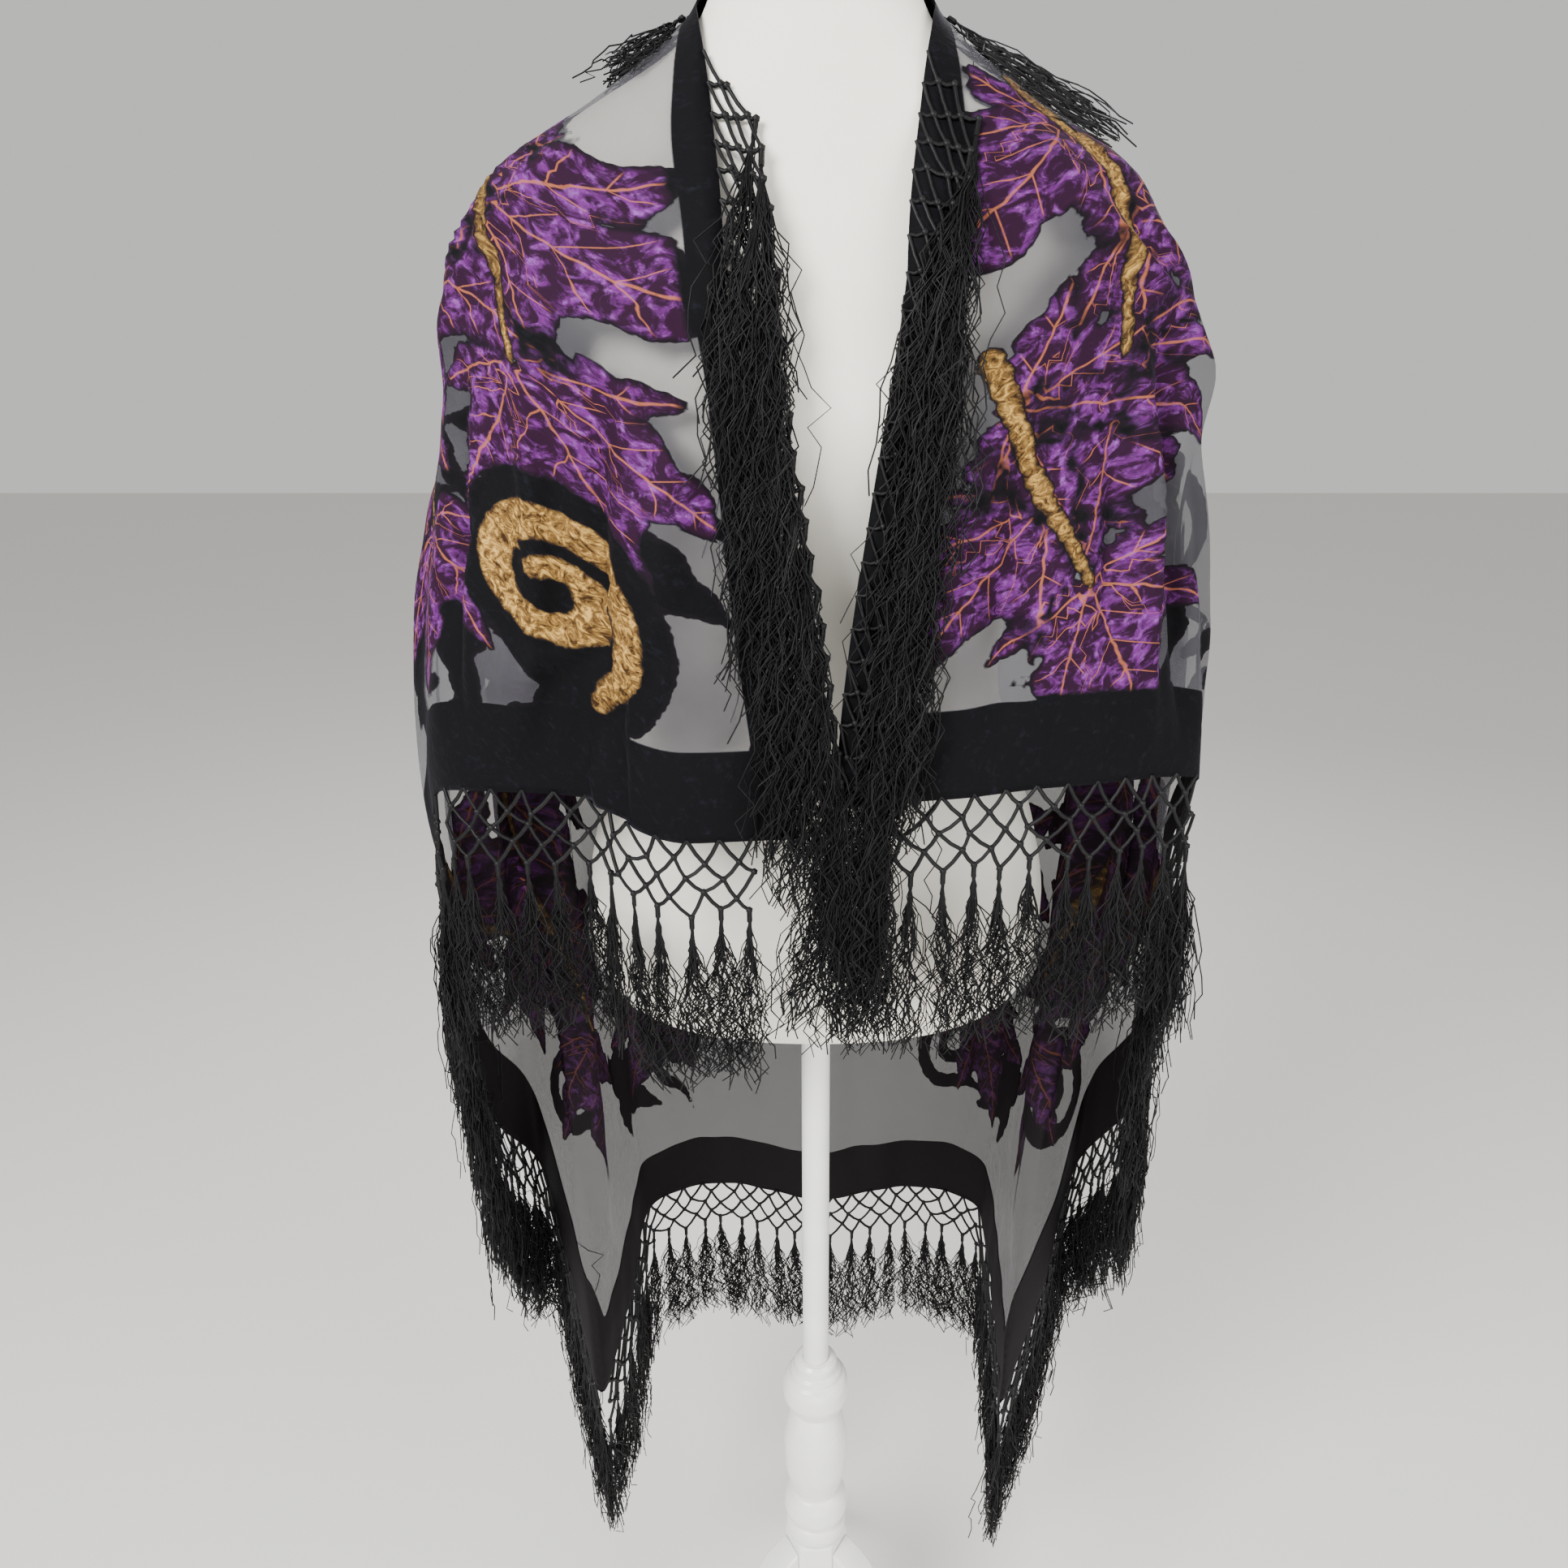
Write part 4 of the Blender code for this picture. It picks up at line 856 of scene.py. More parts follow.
    # Each layer of pile gets painted shade, a thin dark line, along its cut edge.
    for mask, core, tint in laidOver:
        edgeShaded = addNode(
            tree, "ShaderNodeMix", {"data_type": "RGBA"},
            {0: core, 6: hexColour(velvetLook["edgeShade"]), 7: tint},
        ).outputs[2]
        colour = addNode(
            tree, "ShaderNodeMix", {"data_type": "RGBA"},
            {0: mask, 6: colour, 7: edgeShaded},
        ).outputs[2]
    colour = addNode(
        tree, "ShaderNodeMix", {"data_type": "RGBA"},
        {0: band, 6: colour, 7: blackColour},
    ).outputs[2]
    if wrongSide:
        colour = addNode(
            tree, "ShaderNodeMix", {"data_type": "RGBA"},
            {0: velvetLook["wrongShare"], 6: colour, 7: hexColour(velvetLook["wrongSide"])},
        ).outputs[2]
    tree.links.new(colour, shader.inputs["Base Color"])
    pile = addNode(tree, "ShaderNodeMath", {"operation": "MAXIMUM"}, {0: leafMask, 1: goldMask}).outputs[0]
    pile = addNode(tree, "ShaderNodeMath", {"operation": "MAXIMUM"}, {0: pile, 1: blackMask}).outputs[0]
    pile = addNode(tree, "ShaderNodeMath", {"operation": "MAXIMUM"}, {0: pile, 1: band}).outputs[0]
    # The outer wall carries the ground's thinness, and the inner wall is clear wherever there is no pile.
    thin = 0.0
    # The outer wall's opacity rises with the same painted shade behind.
    if not wrongSide:
        thin = addNode(
            tree, "ShaderNodeMapRange", None,
            {"Value": shadeBehind, "To Min": velvetLook["sheerAlpha"], "To Max": velvetLook["shadeBehindAlpha"]},
        ).outputs[0]
    alpha = addNode(
        tree, "ShaderNodeMapRange", None,
        {"Value": pile, "To Min": thin, "To Max": 1.0},
    ).outputs[0]
    tree.links.new(alpha, shader.inputs["Alpha"])
    rough = addNode(
        tree, "ShaderNodeMapRange", None,
        {"Value": pile, "To Min": 0.55, "To Max": 0.82},
    ).outputs[0]
    tree.links.new(rough, shader.inputs["Roughness"])
    shader.inputs["Specular IOR Level"].default_value = 0.11
    shader.inputs["Sheen Weight"].default_value = 0.0 if wrongSide else 0.045
    shader.inputs["Sheen Roughness"].default_value = 0.35
    shader.inputs["Sheen Tint"].default_value = hexColour("#cdbfe0")
    nap = addNode(
        tree, "ShaderNodeTexNoise", None,
        {"Vector": place, "Scale": velvetLook["nap"], "Detail": 2.0},
    ).outputs["Fac"]
    height = addNode(
        tree, "ShaderNodeMath", {"operation": "MULTIPLY_ADD"},
        {0: nap, 1: 0.35, 2: pile},
    ).outputs[0]
    height = addNode(
        tree, "ShaderNodeMath", {"operation": "MULTIPLY_ADD"},
        {0: crushSheen, 1: 0.5, 2: height},
    ).outputs[0]
    bump = addNode(
        tree, "ShaderNodeBump", None,
        {"Height": height, "Strength": 0.2 if wrongSide else 0.5, "Distance": 0.0009},
    )
    tree.links.new(bump.outputs[0], shader.inputs["Normal"])
    return material


pileFace = velvetMaterial("acid-printed rayon velvet on silk chiffon", False)
pileBack = velvetMaterial("chiffon ground, wrong side", True)

# The shawl: a thin closed shell of two walls joined round its edge.
half = sheetNormals(clothMiddle) * cut["wall"] / 2
count = len(clothMiddle)
index = np.arange(count).reshape(gridShape)
a, b, c, d = index[:-1, :-1], index[1:, :-1], index[1:, 1:], index[:-1, 1:]
outerFaces = np.stack([a, b, c, d], axis=-1).reshape(-1, 4)
innerFaces = np.stack([a, d, c, b], axis=-1).reshape(-1, 4) + count
border = np.concatenate([index[:, 0], index[-1, 1:], index[-2::-1, -1], index[0, -2:0:-1]])
following = np.roll(border, -1)
rimFaces = np.stack([border, border + count, following + count, following], axis=-1)
shellFaces = np.concatenate([outerFaces, innerFaces, rimFaces])
shellPoints = np.concatenate([clothMiddle + half, clothMiddle - half])
shawl = addPiece("shawl", shellPoints, shellFaces.tolist(), (pileFace, pileBack))
faceMaterials = np.repeat([0, 1, 0], [len(outerFaces), len(innerFaces), len(rimFaces)])
shawl.data.polygons.foreach_set("material_index", faceMaterials)
reaches = {"leafReach": leafReach, "goldReach": goldReach, "blackReach": blackReach, "bandReach": bandReach}
for attributeName, values in reaches.items():
    attribute = shawl.data.attributes.new(attributeName, "FLOAT", "POINT")
    attribute.data.foreach_set("value", np.tile(values, 2))
attribute = shawl.data.attributes.new("leafPlace", "FLOAT_VECTOR", "POINT")
leafPlaces = np.stack([leafAlong, leafAcross, 0 * u], axis=1)
attribute.data.foreach_set("vector", np.tile(leafPlaces, (2, 1)).ravel())
attribute = shawl.data.attributes.new("cutPlace", "FLOAT_VECTOR", "POINT")
attribute.data.foreach_set("vector", np.tile(np.stack([u, v, 0 * u], axis=1), (2, 1)).ravel())
shawlNodes = ("shawl_front_left", "shawl_side_left", "shawl_back", "shawl_side_right", "shawl_front_right")
linkPiece(shawl, "burnout_velvet", *shawlNodes)
print("shawl made:", len(shellFaces) * 2, "triangles")

# Black yarn for the net and its fringe.
yarnMaterial = bpy.data.materials.new("twisted rayon yarn, black")
yarnMaterial.use_nodes = True
yarnTree = yarnMaterial.node_tree
yarnShader = yarnTree.nodes["Principled BSDF"]
yarnPlace = addNode(yarnTree, "ShaderNodeTexCoord").outputs["Object"]
yarnNoise = addNode(
    yarnTree, "ShaderNodeTexNoise", None,
    {"Vector": yarnPlace, "Scale": 1 / 0.0035, "Detail": 2.0},
).outputs["Fac"]
yarnColour = addNode(
    yarnTree, "ShaderNodeMix", {"data_type": "RGBA"},
    {0: yarnNoise, 6: hexColour("#020203"), 7: hexColour("#0d0c0f")},
).outputs[2]
yarnTree.links.new(yarnColour, yarnShader.inputs["Base Color"])
yarnBump = addNode(
    yarnTree, "ShaderNodeBump", None,
    {"Height": yarnNoise, "Strength": 0.6, "Distance": 0.0006},
)
yarnTree.links.new(yarnBump.outputs[0], yarnShader.inputs["Normal"])
yarnShader.inputs["Roughness"].default_value = 0.55
yarnShader.inputs["Specular IOR Level"].default_value = 0.24

fringe = {
    "mesh": 0.0195,
    "rowDrop": 0.0118,
    "rows": 4,
    "yarn": 0.00135,
    "knot": 0.0025,
    "cord": 0.0017,
    "cordDrop": 0.008,
    "threads": 35,
    "thread": 0.00050,
    "threadSteps": 12,
    "length": 0.124,
    "sides": 4,
    "threadSides": 3,
    "meshSag": 0.0012,
    "spread": 0.0066,
    "sideSpread": 0.0092,
    "sideThreads": 1.35,
    "strayEvery": 9,
    "stray": 2.1,
}
# Two waves crinkle a thread sideways and two outwards: height of each and turns over the thread's length.
crinkles = ((0.0033, 27), (0.0022, 43), (0.0022, 24), (0.0015, 39))


def yarnTubes():
    # Lines in, tubes out: girth is each point's radius, and a knot sits where knot is above 0.5.
    tree = bpy.data.node_groups.new("yarn tubes", "GeometryNodeTree")
    face = tree.interface
    face.new_socket("Geometry", in_out="INPUT", socket_type="NodeSocketGeometry")
    face.new_socket("Sides", in_out="INPUT", socket_type="NodeSocketInt")
    face.new_socket("Knot size", in_out="INPUT", socket_type="NodeSocketFloat")
    face.new_socket("Yarn", in_out="INPUT", socket_type="NodeSocketMaterial")
    face.new_socket("Geometry", in_out="OUTPUT", socket_type="NodeSocketGeometry")
    given = tree.nodes.new("NodeGroupInput")
    girth = addNode(tree, "GeometryNodeInputNamedAttribute", {"data_type": "FLOAT"}, {"Name": "girth"})
    knot = addNode(tree, "GeometryNodeInputNamedAttribute", {"data_type": "FLOAT"}, {"Name": "knot"})
    line = addNode(tree, "GeometryNodeMeshToCurve", None, {0: given.outputs["Geometry"]})
    ring = addNode(
        tree, "GeometryNodeCurvePrimitiveCircle", None,
        {"Resolution": given.outputs["Sides"], "Radius": 1.0},
    )
    tube = addNode(
        tree, "GeometryNodeCurveToMesh", None,
        {0: line.outputs[0], 1: ring.outputs[0], "Scale": girth.outputs[0], "Fill Caps": True},
    )
    tied = addNode(tree, "ShaderNodeMath", {"operation": "GREATER_THAN"}, {0: knot.outputs[0], 1: 0.5})
    spots = addNode(
        tree, "GeometryNodeMeshToPoints", None,
        {0: given.outputs["Geometry"], "Selection": tied.outputs[0]},
    )
    ball = addNode(
        tree, "GeometryNodeMeshIcoSphere", None,
        {"Radius": given.outputs["Knot size"], "Subdivisions": 1},
    )
    knots = addNode(
        tree, "GeometryNodeInstanceOnPoints", None,
        {"Points": spots.outputs[0], "Instance": ball.outputs[0]},
    )
    joined = addNode(tree, "GeometryNodeJoinGeometry")
    tree.links.new(tube.outputs[0], joined.inputs[0])
    tree.links.new(knots.outputs[0], joined.inputs[0])
    real = addNode(tree, "GeometryNodeRealizeInstances", None, {0: joined.outputs[0]})
    soft = addNode(tree, "GeometryNodeSetShadeSmooth", None, {0: real.outputs[0]})
    finished = addNode(
        tree, "GeometryNodeSetMaterial", None,
        {0: soft.outputs[0], "Material": given.outputs["Yarn"]},
    )
    out = tree.nodes.new("NodeGroupOutput")
    tree.links.new(finished.outputs[0], out.inputs[0])
    return tree


tubeTree = yarnTubes()
socketNames = {item.name: item.identifier for item in tubeTree.interface.items_tree if item.in_out == "INPUT"}


def runTubes(name, points, edges, girths, knots, sides):
    # Puts the lines through the tree and keeps the plain mesh that comes out.
    mesh = bpy.data.meshes.new(name)
    # Stray threads are held within 9 mm of the solids' own box.
    low = np.array(cadBox[0]) - (0.009, 0.009, 0)
    high = np.array(cadBox[1]) + (0.009, 0.009, 0)
    mesh.from_pydata(np.clip(points + axisPlace, low, high).tolist(), edges.tolist(), [])
    mesh.attributes.new("girth", "FLOAT", "POINT").data.foreach_set("value", girths)
    mesh.attributes.new("knot", "FLOAT", "POINT").data.foreach_set("value", knots)
    obj = bpy.data.objects.new(name, mesh)
    bpy.context.scene.collection.objects.link(obj)
    tubes = obj.modifiers.new("tubes", "NODES")
    tubes.node_group = tubeTree
    tubes[socketNames["Sides"]] = sides
    tubes[socketNames["Knot size"]] = fringe["knot"]
    tubes[socketNames["Yarn"]] = yarnMaterial
    graph = bpy.context.evaluated_depsgraph_get()
    made = bpy.data.meshes.new_from_object(obj.evaluated_get(graph))
    obj.modifiers.remove(tubes)
    obj.data = made
    made.name = name
    for layer in [item.name for item in made.attributes if item.name in ("girth", "knot")]:
        made.attributes.remove(made.attributes[layer])
    return obj


class YarnLines:
    # Gathers points and edges for one piece.
    def __init__(self):
        self.points = []
        self.edges = []
        self.girths = []
        self.knots = []
        self.total = 0

    def add(self, line, girth, knotted=False):
        size = len(line)
        self.points.append(line)
        self.girths.append(np.broadcast_to(girth, (size,)))
        ties = np.zeros(size)
        if knotted:
            ties[-1] = 1.0
        self.knots.append(ties)
        steps = np.arange(self.total, self.total + size - 1)
        self.edges.append(np.stack([steps, steps + 1], axis=1))
        self.total += size

    def arrays(self):
        parts = [np.concatenate(x) for x in (self.points, self.edges, self.girths, self.knots)]
        return parts


def netCells(grid, lines):
    # Diamond meshes between the rows of a staggered grid of places, with a knot at each lower end.
    for row in range(len(grid) - 1):
        upper = grid[row]
        lower = grid[row + 1]
        for i in range(len(upper)):
            for j in (i, i - 1 if row % 2 == 0 else i + 1):
                if 0 <= j < len(lower):
                    middle = (upper[i] + lower[j]) / 2 + np.array([0, 0, -fringe["meshSag"]])
                    line = np.stack([upper[i], middle, lower[j]])
                    lines.add(line, fringe["yarn"], knotted=j == i)


def threadBundle(rng, root, path, across, outward, lines, threads, spread):
    # A short cord that opens into crinkled threads. path gives the middle line for shares 0 to 1.
    cordShare = fringe["cordDrop"] / fringe["length"]
    cordLine = path(np.linspace(0, cordShare, 3))
    lines["net"].add(cordLine, fringe["cord"])
    steps = fringe["threadSteps"]
    t = np.linspace(cordShare * 0.8, 1, steps)
    fan = smoothStep(1.7 * (t - cordShare) / (1 - cordShare))[:, None]
    for k in range(threads):
        reach = rng.uniform(0.80, 1.04)
        middle = path(t * reach)
        stray = fringe["stray"] if k % fringe["strayEvery"] == fringe["strayEvery"] - 1 else 1.0
        side = rng.normal(0, spread) * stray
        forward = rng.normal(0, spread * 0.45) * stray
        phase = rng.uniform(0, 6.3, 4)
        waves = [height * np.sin(t * reach * turns + phase[i]) for i, (height, turns) in enumerate(crinkles)]
        crinkle = (waves[0] + waves[1])[:, None] * (0.25 + fan)
        crinkleOut = (waves[2] + waves[3])[:, None] * (0.25 + fan)
        line = middle + across * (side * fan + crinkle) + outward * (forward * fan + np.abs(crinkleOut) * 0.8)
        lines["fringe"].add(line, fringe["thread"] * rng.uniform(0.8, 1.15))


def finishFringe(name, lines, node):
    # The net and the threads of one stretch become one piece.
    net = runTubes(name + "Net", *lines["net"].arrays(), fringe["sides"])
    threads = runTubes(name, *lines["fringe"].arrays(), fringe["threadSides"])
    bm = bmesh.new()
    bm.from_mesh(threads.data)
    bm.from_mesh(net.data)
    bm.to_mesh(threads.data)
    bm.free()
    bpy.data.objects.remove(net)
    threads.data.shade_smooth()
    linkPiece(threads, "fringe_yarn", node)
    triangles = sum(len(polygon.vertices) - 2 for polygon in threads.data.polygons)
    print(name, "made:", triangles, "triangles")
    return threads


def alongHem(walk):
    place = np.interp(walk, hemWalk, tablePlaces)
    points = np.stack([np.interp(walk, hemWalk, hemPoints[:, i]) for i in range(3)], axis=-1)
    return place, points


hemRuns = {
    "fringeHemLeft": (-0.985, -0.745, "fringe_hem_left"),
    "fringeSideLeft": (-0.745, -0.42, "fringe_side_left"),
    "fringeBack": (-0.42, 0.42, "fringe_back"),
    "fringeSideRight": (0.42, 0.745, "fringe_side_right"),
    "fringeHemRight": (0.745, 0.985, "fringe_hem_right"),
}
for seed, (name, (first, last, node)) in enumerate(hemRuns.items()):
    rng = np.random.default_rng(100 + seed)
    walkA, walkB = np.interp([first, last], tablePlaces, hemWalk)
    cells = round((walkB - walkA) / fringe["mesh"])
    pitch = (walkB - walkA) / cells
    lines = {"net": YarnLines(), "fringe": YarnLines()}
    grid = []
    for row in range(fringe["rows"] + 1):
        number = cells if row % 2 == 0 else cells - 1
        walks = walkA + pitch * (np.arange(number) + (0.5 if row % 2 == 0 else 1.0))
        walks = walks + rng.normal(0, 0.0022, number) * (row > 0)
        place, points = alongHem(walks)
        ahead = alongHem(walks + 0.004)[1] - alongHem(walks - 0.004)[1]
        ahead[:, 2] = 0
        ahead = unit(ahead)
        outward = np.stack([-ahead[:, 1], ahead[:, 0], 0 * walks], axis=1)
        sign = np.sign(np.sum(outward * clothNormals(place, points[:, 2]), axis=1))[:, None]
        outward = outward * np.where(sign == 0, 1, sign)
        drop = fringe["rowDrop"] * row + rng.normal(0, 0.0016, number) * (row > 0)
        lift = rng.normal(0.0004, 0.0010, number) * (row > 0)
        points = points + np.array([0, 0, -1]) * drop[:, None] + outward * lift[:, None]
        points = points + np.array([0, 0, 0.002 if row == 0 else 0])
        grid.append(points)
    netCells(grid, lines["net"])
    for i, root in enumerate(grid[-1]):
        length = fringe["length"] * (1 + 0.05 * math.sin(5.1 * i)) + 0.004
        sway = rng.normal(0, 0.005)

        def path(t, root=root, length=length, sway=sway, side=ahead[i]):
            return root + np.outer(t * length, [0, 0, -1]) + np.outer(sway * t * t, side)

        threads = round(fringe["threads"] * (fringe["sideThreads"] if "Side" in name else 1.0))
        spread = fringe["sideSpread" if "Side" in name else "spread"]
        threadBundle(rng, root, path, ahead[i], outward[i], lines, threads, spread)
    finishFringe(name, lines, node)

# How far forward the form and the fronts reach, over x and height, for what hangs in front of them.
frontX = np.linspace(-0.20, 0.20, 81)
frontZ = np.linspace(0.86, 1.56, 141)
frontY = np.zeros((len(frontX), len(frontZ)))
for j, level in enumerate(frontZ):
    sidePlaces = np.linspace(0.70, 1.0, 40)
    right = clothPlaces(sidePlaces, np.full(40, level))
    left = clothPlaces(-sidePlaces, np.full(40, level))
    outline = np.concatenate([left, right[::-1]])
    order = np.argsort(outline[:, 0])
    clothFront = np.interp(frontX, outline[order, 0], outline[order, 1])
    turns = math.pi + np.linspace(-1.4, 1.4, 60)
    formOutline = formPlaces(turns, np.full(60, min(level, 1.579)))
    order = np.argsort(formOutline[:, 0])
    formFront = np.interp(frontX, formOutline[order, 0], formOutline[order, 1], left=0, right=0)
    frontY[:, j] = np.minimum(clothFront, formFront)


def frontAt(x, z):
    i = np.clip((x - frontX[0]) / (frontX[1] - frontX[0]), 0, len(frontX) - 1.001)
    j = np.clip((z - frontZ[0]) / (frontZ[1] - frontZ[0]), 0, len(frontZ) - 1.001)
    ii, jj = i.astype(int), j.astype(int)
    s, t = i - ii, j - jj
    low = frontY[ii, jj] * (1 - s) + frontY[ii + 1, jj] * s
    high = frontY[ii, jj + 1] * (1 - s) + frontY[ii + 1, jj + 1] * s
    return low * (1 - t) + high * t


# The net of the long edge hangs inside the left front edge and is turned out over the right one.
edgeFringe = {
    "fringeEdgeLeft": {"side": -1, "lean": 0.0075, "drift": -0.11, "node": "fringe_edge_left"},
    "fringeEdgeRight": {"side": 1, "lean": 0.0068, "drift": -0.16, "node": "fringe_edge_right"},
}
edgeLook = {
    "top": 1.490,
    "low": 1.075,
    "rowDrop": 0.0088,
    "length": 0.150,
    "varies": 0.10,
    "extraThreads": 7,
    "spread": 0.0074,
    "driftVaries": 0.075,
}
for seed, (name, look) in enumerate(edgeFringe.items()):
    rng = np.random.default_rng(200 + seed)
    side = look["side"]
    heights = np.linspace(edgeLook["top"], edgeLook["low"], 300)
    edgeLine = clothPlaces(np.full(300, float(side)), heights)
    walk = np.concatenate([[0], np.cumsum(np.linalg.norm(np.diff(edgeLine, axis=0), axis=1))])
    cells = round(walk[-1] / fringe["mesh"])
    lines = {"net": YarnLines(), "fringe": YarnLines()}
    grid = []
    for row in range(fringe["rows"] + 1):
        number = cells if row % 2 == 0 else cells - 1
        walks = walk[-1] / cells * (np.arange(number) + (0.5 if row % 2 == 0 else 1.0))
        points = np.stack([np.interp(walks, walk, edgeLine[:, i]) for i in range(3)], axis=-1)
        x = points[:, 0] + look["lean"] * row + rng.normal(0, 0.0009, number) * (row > 0)
        z = points[:, 2] - edgeLook["rowDrop"] * row + rng.normal(0, 0.0009, number) * (row > 0)
        y = np.minimum(frontAt(x, z), frontAt(x, z + 0.006)) - 0.0018 - 0.0007 * row
        grid.append(np.stack([x, y if row else points[:, 1] - 0.0006, z], axis=1))
    netCells(grid, lines["net"])
    for i, root in enumerate(grid[-1]):
        length = edgeLook["length"] * (1 + edgeLook["varies"] * math.sin(3.3 * i))
        layer = 0.0022 + 0.0022 * (i % 3)
        drift = look["drift"] + rng.normal(0, edgeLook["driftVaries"])

        def path(t, root=root, length=length, layer=layer, drift=drift):
            drop = t * length
            x = root[0] + drift * drop
            z = root[2] - drop
            y = frontAt(x, z) - layer * smoothStep(t * 4) - 0.0025
            y = np.minimum.accumulate(np.minimum(y, root[1]))
            return np.stack([x, y, z], axis=1)

        threads = fringe["threads"] + edgeLook["extraThreads"]
        aside = np.array([1.0, 0, 0])
        forward = np.array([0, -1.0, 0])
        threadBundle(rng, root, path, aside, forward, lines, threads, edgeLook["spread"])
    finishFringe(name, lines, look["node"])

# The net at the neck is turned out and lies over the back and the shoulders.
rng = np.random.default_rng(300)
lines = {"net": YarnLines(), "fringe": YarnLines()}
neckFringe = {
    "reach": 0.86,
    "cells": 26,
    "rowDrop": 0.0100,
    "start": 0.043,
    "length": 0.062,
    "longer": 0.060,
    "longerFrom": 0.25,
    "threads": 0.4,
    "spread": 0.0105,
}
neckReach = neckFringe["reach"]
neckCells = neckFringe["cells"]


def downCloth(place, distance, lift):
    # Places down the cape's surface from its top edge, lifted off it.
    length = np.interp(place, tablePlaces, columnLengths)
    height = heightsAt(place, np.clip(distance / length, 0, 1))
    return clothPlaces(place, height) + clothNormals(place, np.minimum(height, 1.53)) * lift[:, None]


grid = []
for row in range(fringe["rows"] + 1):
    number = neckCells if row % 2 == 0 else neckCells - 1
    place = -neckReach + 2 * neckReach / neckCells * (np.arange(number) + (0.5 if row % 2 == 0 else 1.0))
    distance = 0.003 + neckFringe["rowDrop"] * row + rng.normal(0, 0.0008, number)
    grid.append(downCloth(place, distance, np.full(number, 0.0030 if row else 0.0016)))
netCells(grid, lines["net"])
for i, root in enumerate(grid[-1]):
    startPlace = -neckReach + 2 * neckReach / neckCells * (i + 0.5)
    length = neckFringe["length"] + neckFringe["longer"] * (startPlace > neckFringe["longerFrom"])
    swing = rng.normal(0, 0.012) - 0.03 * (startPlace > 0.45)

    def path(t, startPlace=startPlace, length=length, swing=swing):
        return downCloth(startPlace + swing * t, neckFringe["start"] + t * length, 0.0032 + 0.003 * t)

    level = np.array([1.45])
    before, after = [clothPlaces(np.array([startPlace + step]), level) for step in (-0.01, 0.01)]
    ahead = after - before
    outward = clothNormals(np.array([startPlace]), level)[0]
    threads = round(fringe["threads"] * neckFringe["threads"])
    threadBundle(rng, root, path, unit(ahead)[0], outward, lines, threads, neckFringe["spread"])
finishFringe("fringeNeck", lines, "fringe_neck")

# The dress form: padded, covered in jersey.
jersey = bpy.data.materials.new("off-white cotton jersey")
jersey.use_nodes = True
jerseyTree = jersey.node_tree
jerseyShader = jerseyTree.nodes["Principled BSDF"]
# Fine knit loops 1.1 mm wide, a little coarser than life so that they show, and faint handling marks.
jerseyPlace = addNode(jerseyTree, "ShaderNodeTexCoord").outputs["Object"]
marks = addNode(
    jerseyTree, "ShaderNodeTexNoise", None,
    {"Vector": jerseyPlace, "Scale": 1 / 0.09, "Detail": 3.0},
).outputs["Fac"]
marks = addNode(
    jerseyTree, "ShaderNodeMix", {"data_type": "RGBA"},
    {0: marks, 6: hexColour("#e4dfd2"), 7: hexColour("#f5f1e6")},
).outputs[2]
jerseyTree.links.new(marks, jerseyShader.inputs["Base Color"])
loops = addNode(
    jerseyTree, "ShaderNodeTexVoronoi", None,
    {"Vector": jerseyPlace, "Scale": 1 / 0.0011},
).outputs["Distance"]
loopBump = addNode(
    jerseyTree, "ShaderNodeBump", None,
    {"Height": loops, "Strength": 0.18, "Distance": 0.0004},
)
jerseyTree.links.new(loopBump.outputs[0], jerseyShader.inputs["Normal"])
jerseyShader.inputs["Roughness"].default_value = 0.86
jerseyShader.inputs["Sheen Weight"].default_value = 0.15

formShape = {
    "around": 128,
    "rings": 150,
    "bustHeight": 1.292,
    "bustAside": 0.074,
    "bustRise": 0.011,
    "bustSize": 0.052,
}
formHeights = np.linspace(formRings[0, 0], formRings[-1, 0], formShape["rings"])
formHeights = np.sort(np.concatenate([formHeights, np.linspace(0.8505, 0.874, 12)]))
formTurns = np.linspace(0, 2 * math.pi, formShape["around"], endpoint=False)
turnGrid, heightGrid = [g.ravel() for g in np.meshgrid(formTurns, formHeights)]
formPoints = formPlaces(turnGrid, heightGrid)
bust = np.zeros(len(formPoints))
for aside in (-formShape["bustAside"], formShape["bustAside"]):
    away = np.hypot(formPoints[:, 0] - aside, formPoints[:, 2] - formShape["bustHeight"])
    away = away / formShape["bustSize"]
    bust += formShape["bustRise"] * np.exp(-away ** 2) * (formPoints[:, 1] < 0)
formPoints[:, 1] -= bust
around = formShape["around"]
formFaces = []
for row in range(len(formHeights) - 1):
    for i in range(around):
        after = (i + 1) % around
        low = row * around
        high = low + around
        formFaces.append((low + i, low + after, high + after, high + i))
formFaces.append(tuple(range(around))[::-1])
formFaces.append(tuple(range((len(formHeights) - 1) * around, len(formHeights) * around)))
dressForm = addPiece("dressForm", formPoints, formFaces, (jersey,))
formMesh = bmesh.new()
formMesh.from_mesh(dressForm.data)
bmesh.ops.recalc_face_normals(formMesh, faces=formMesh.faces)
formMesh.to_mesh(dressForm.data)
formMesh.free()
linkPiece(dressForm, "form_jersey", "dress_form")
print("dress form made")


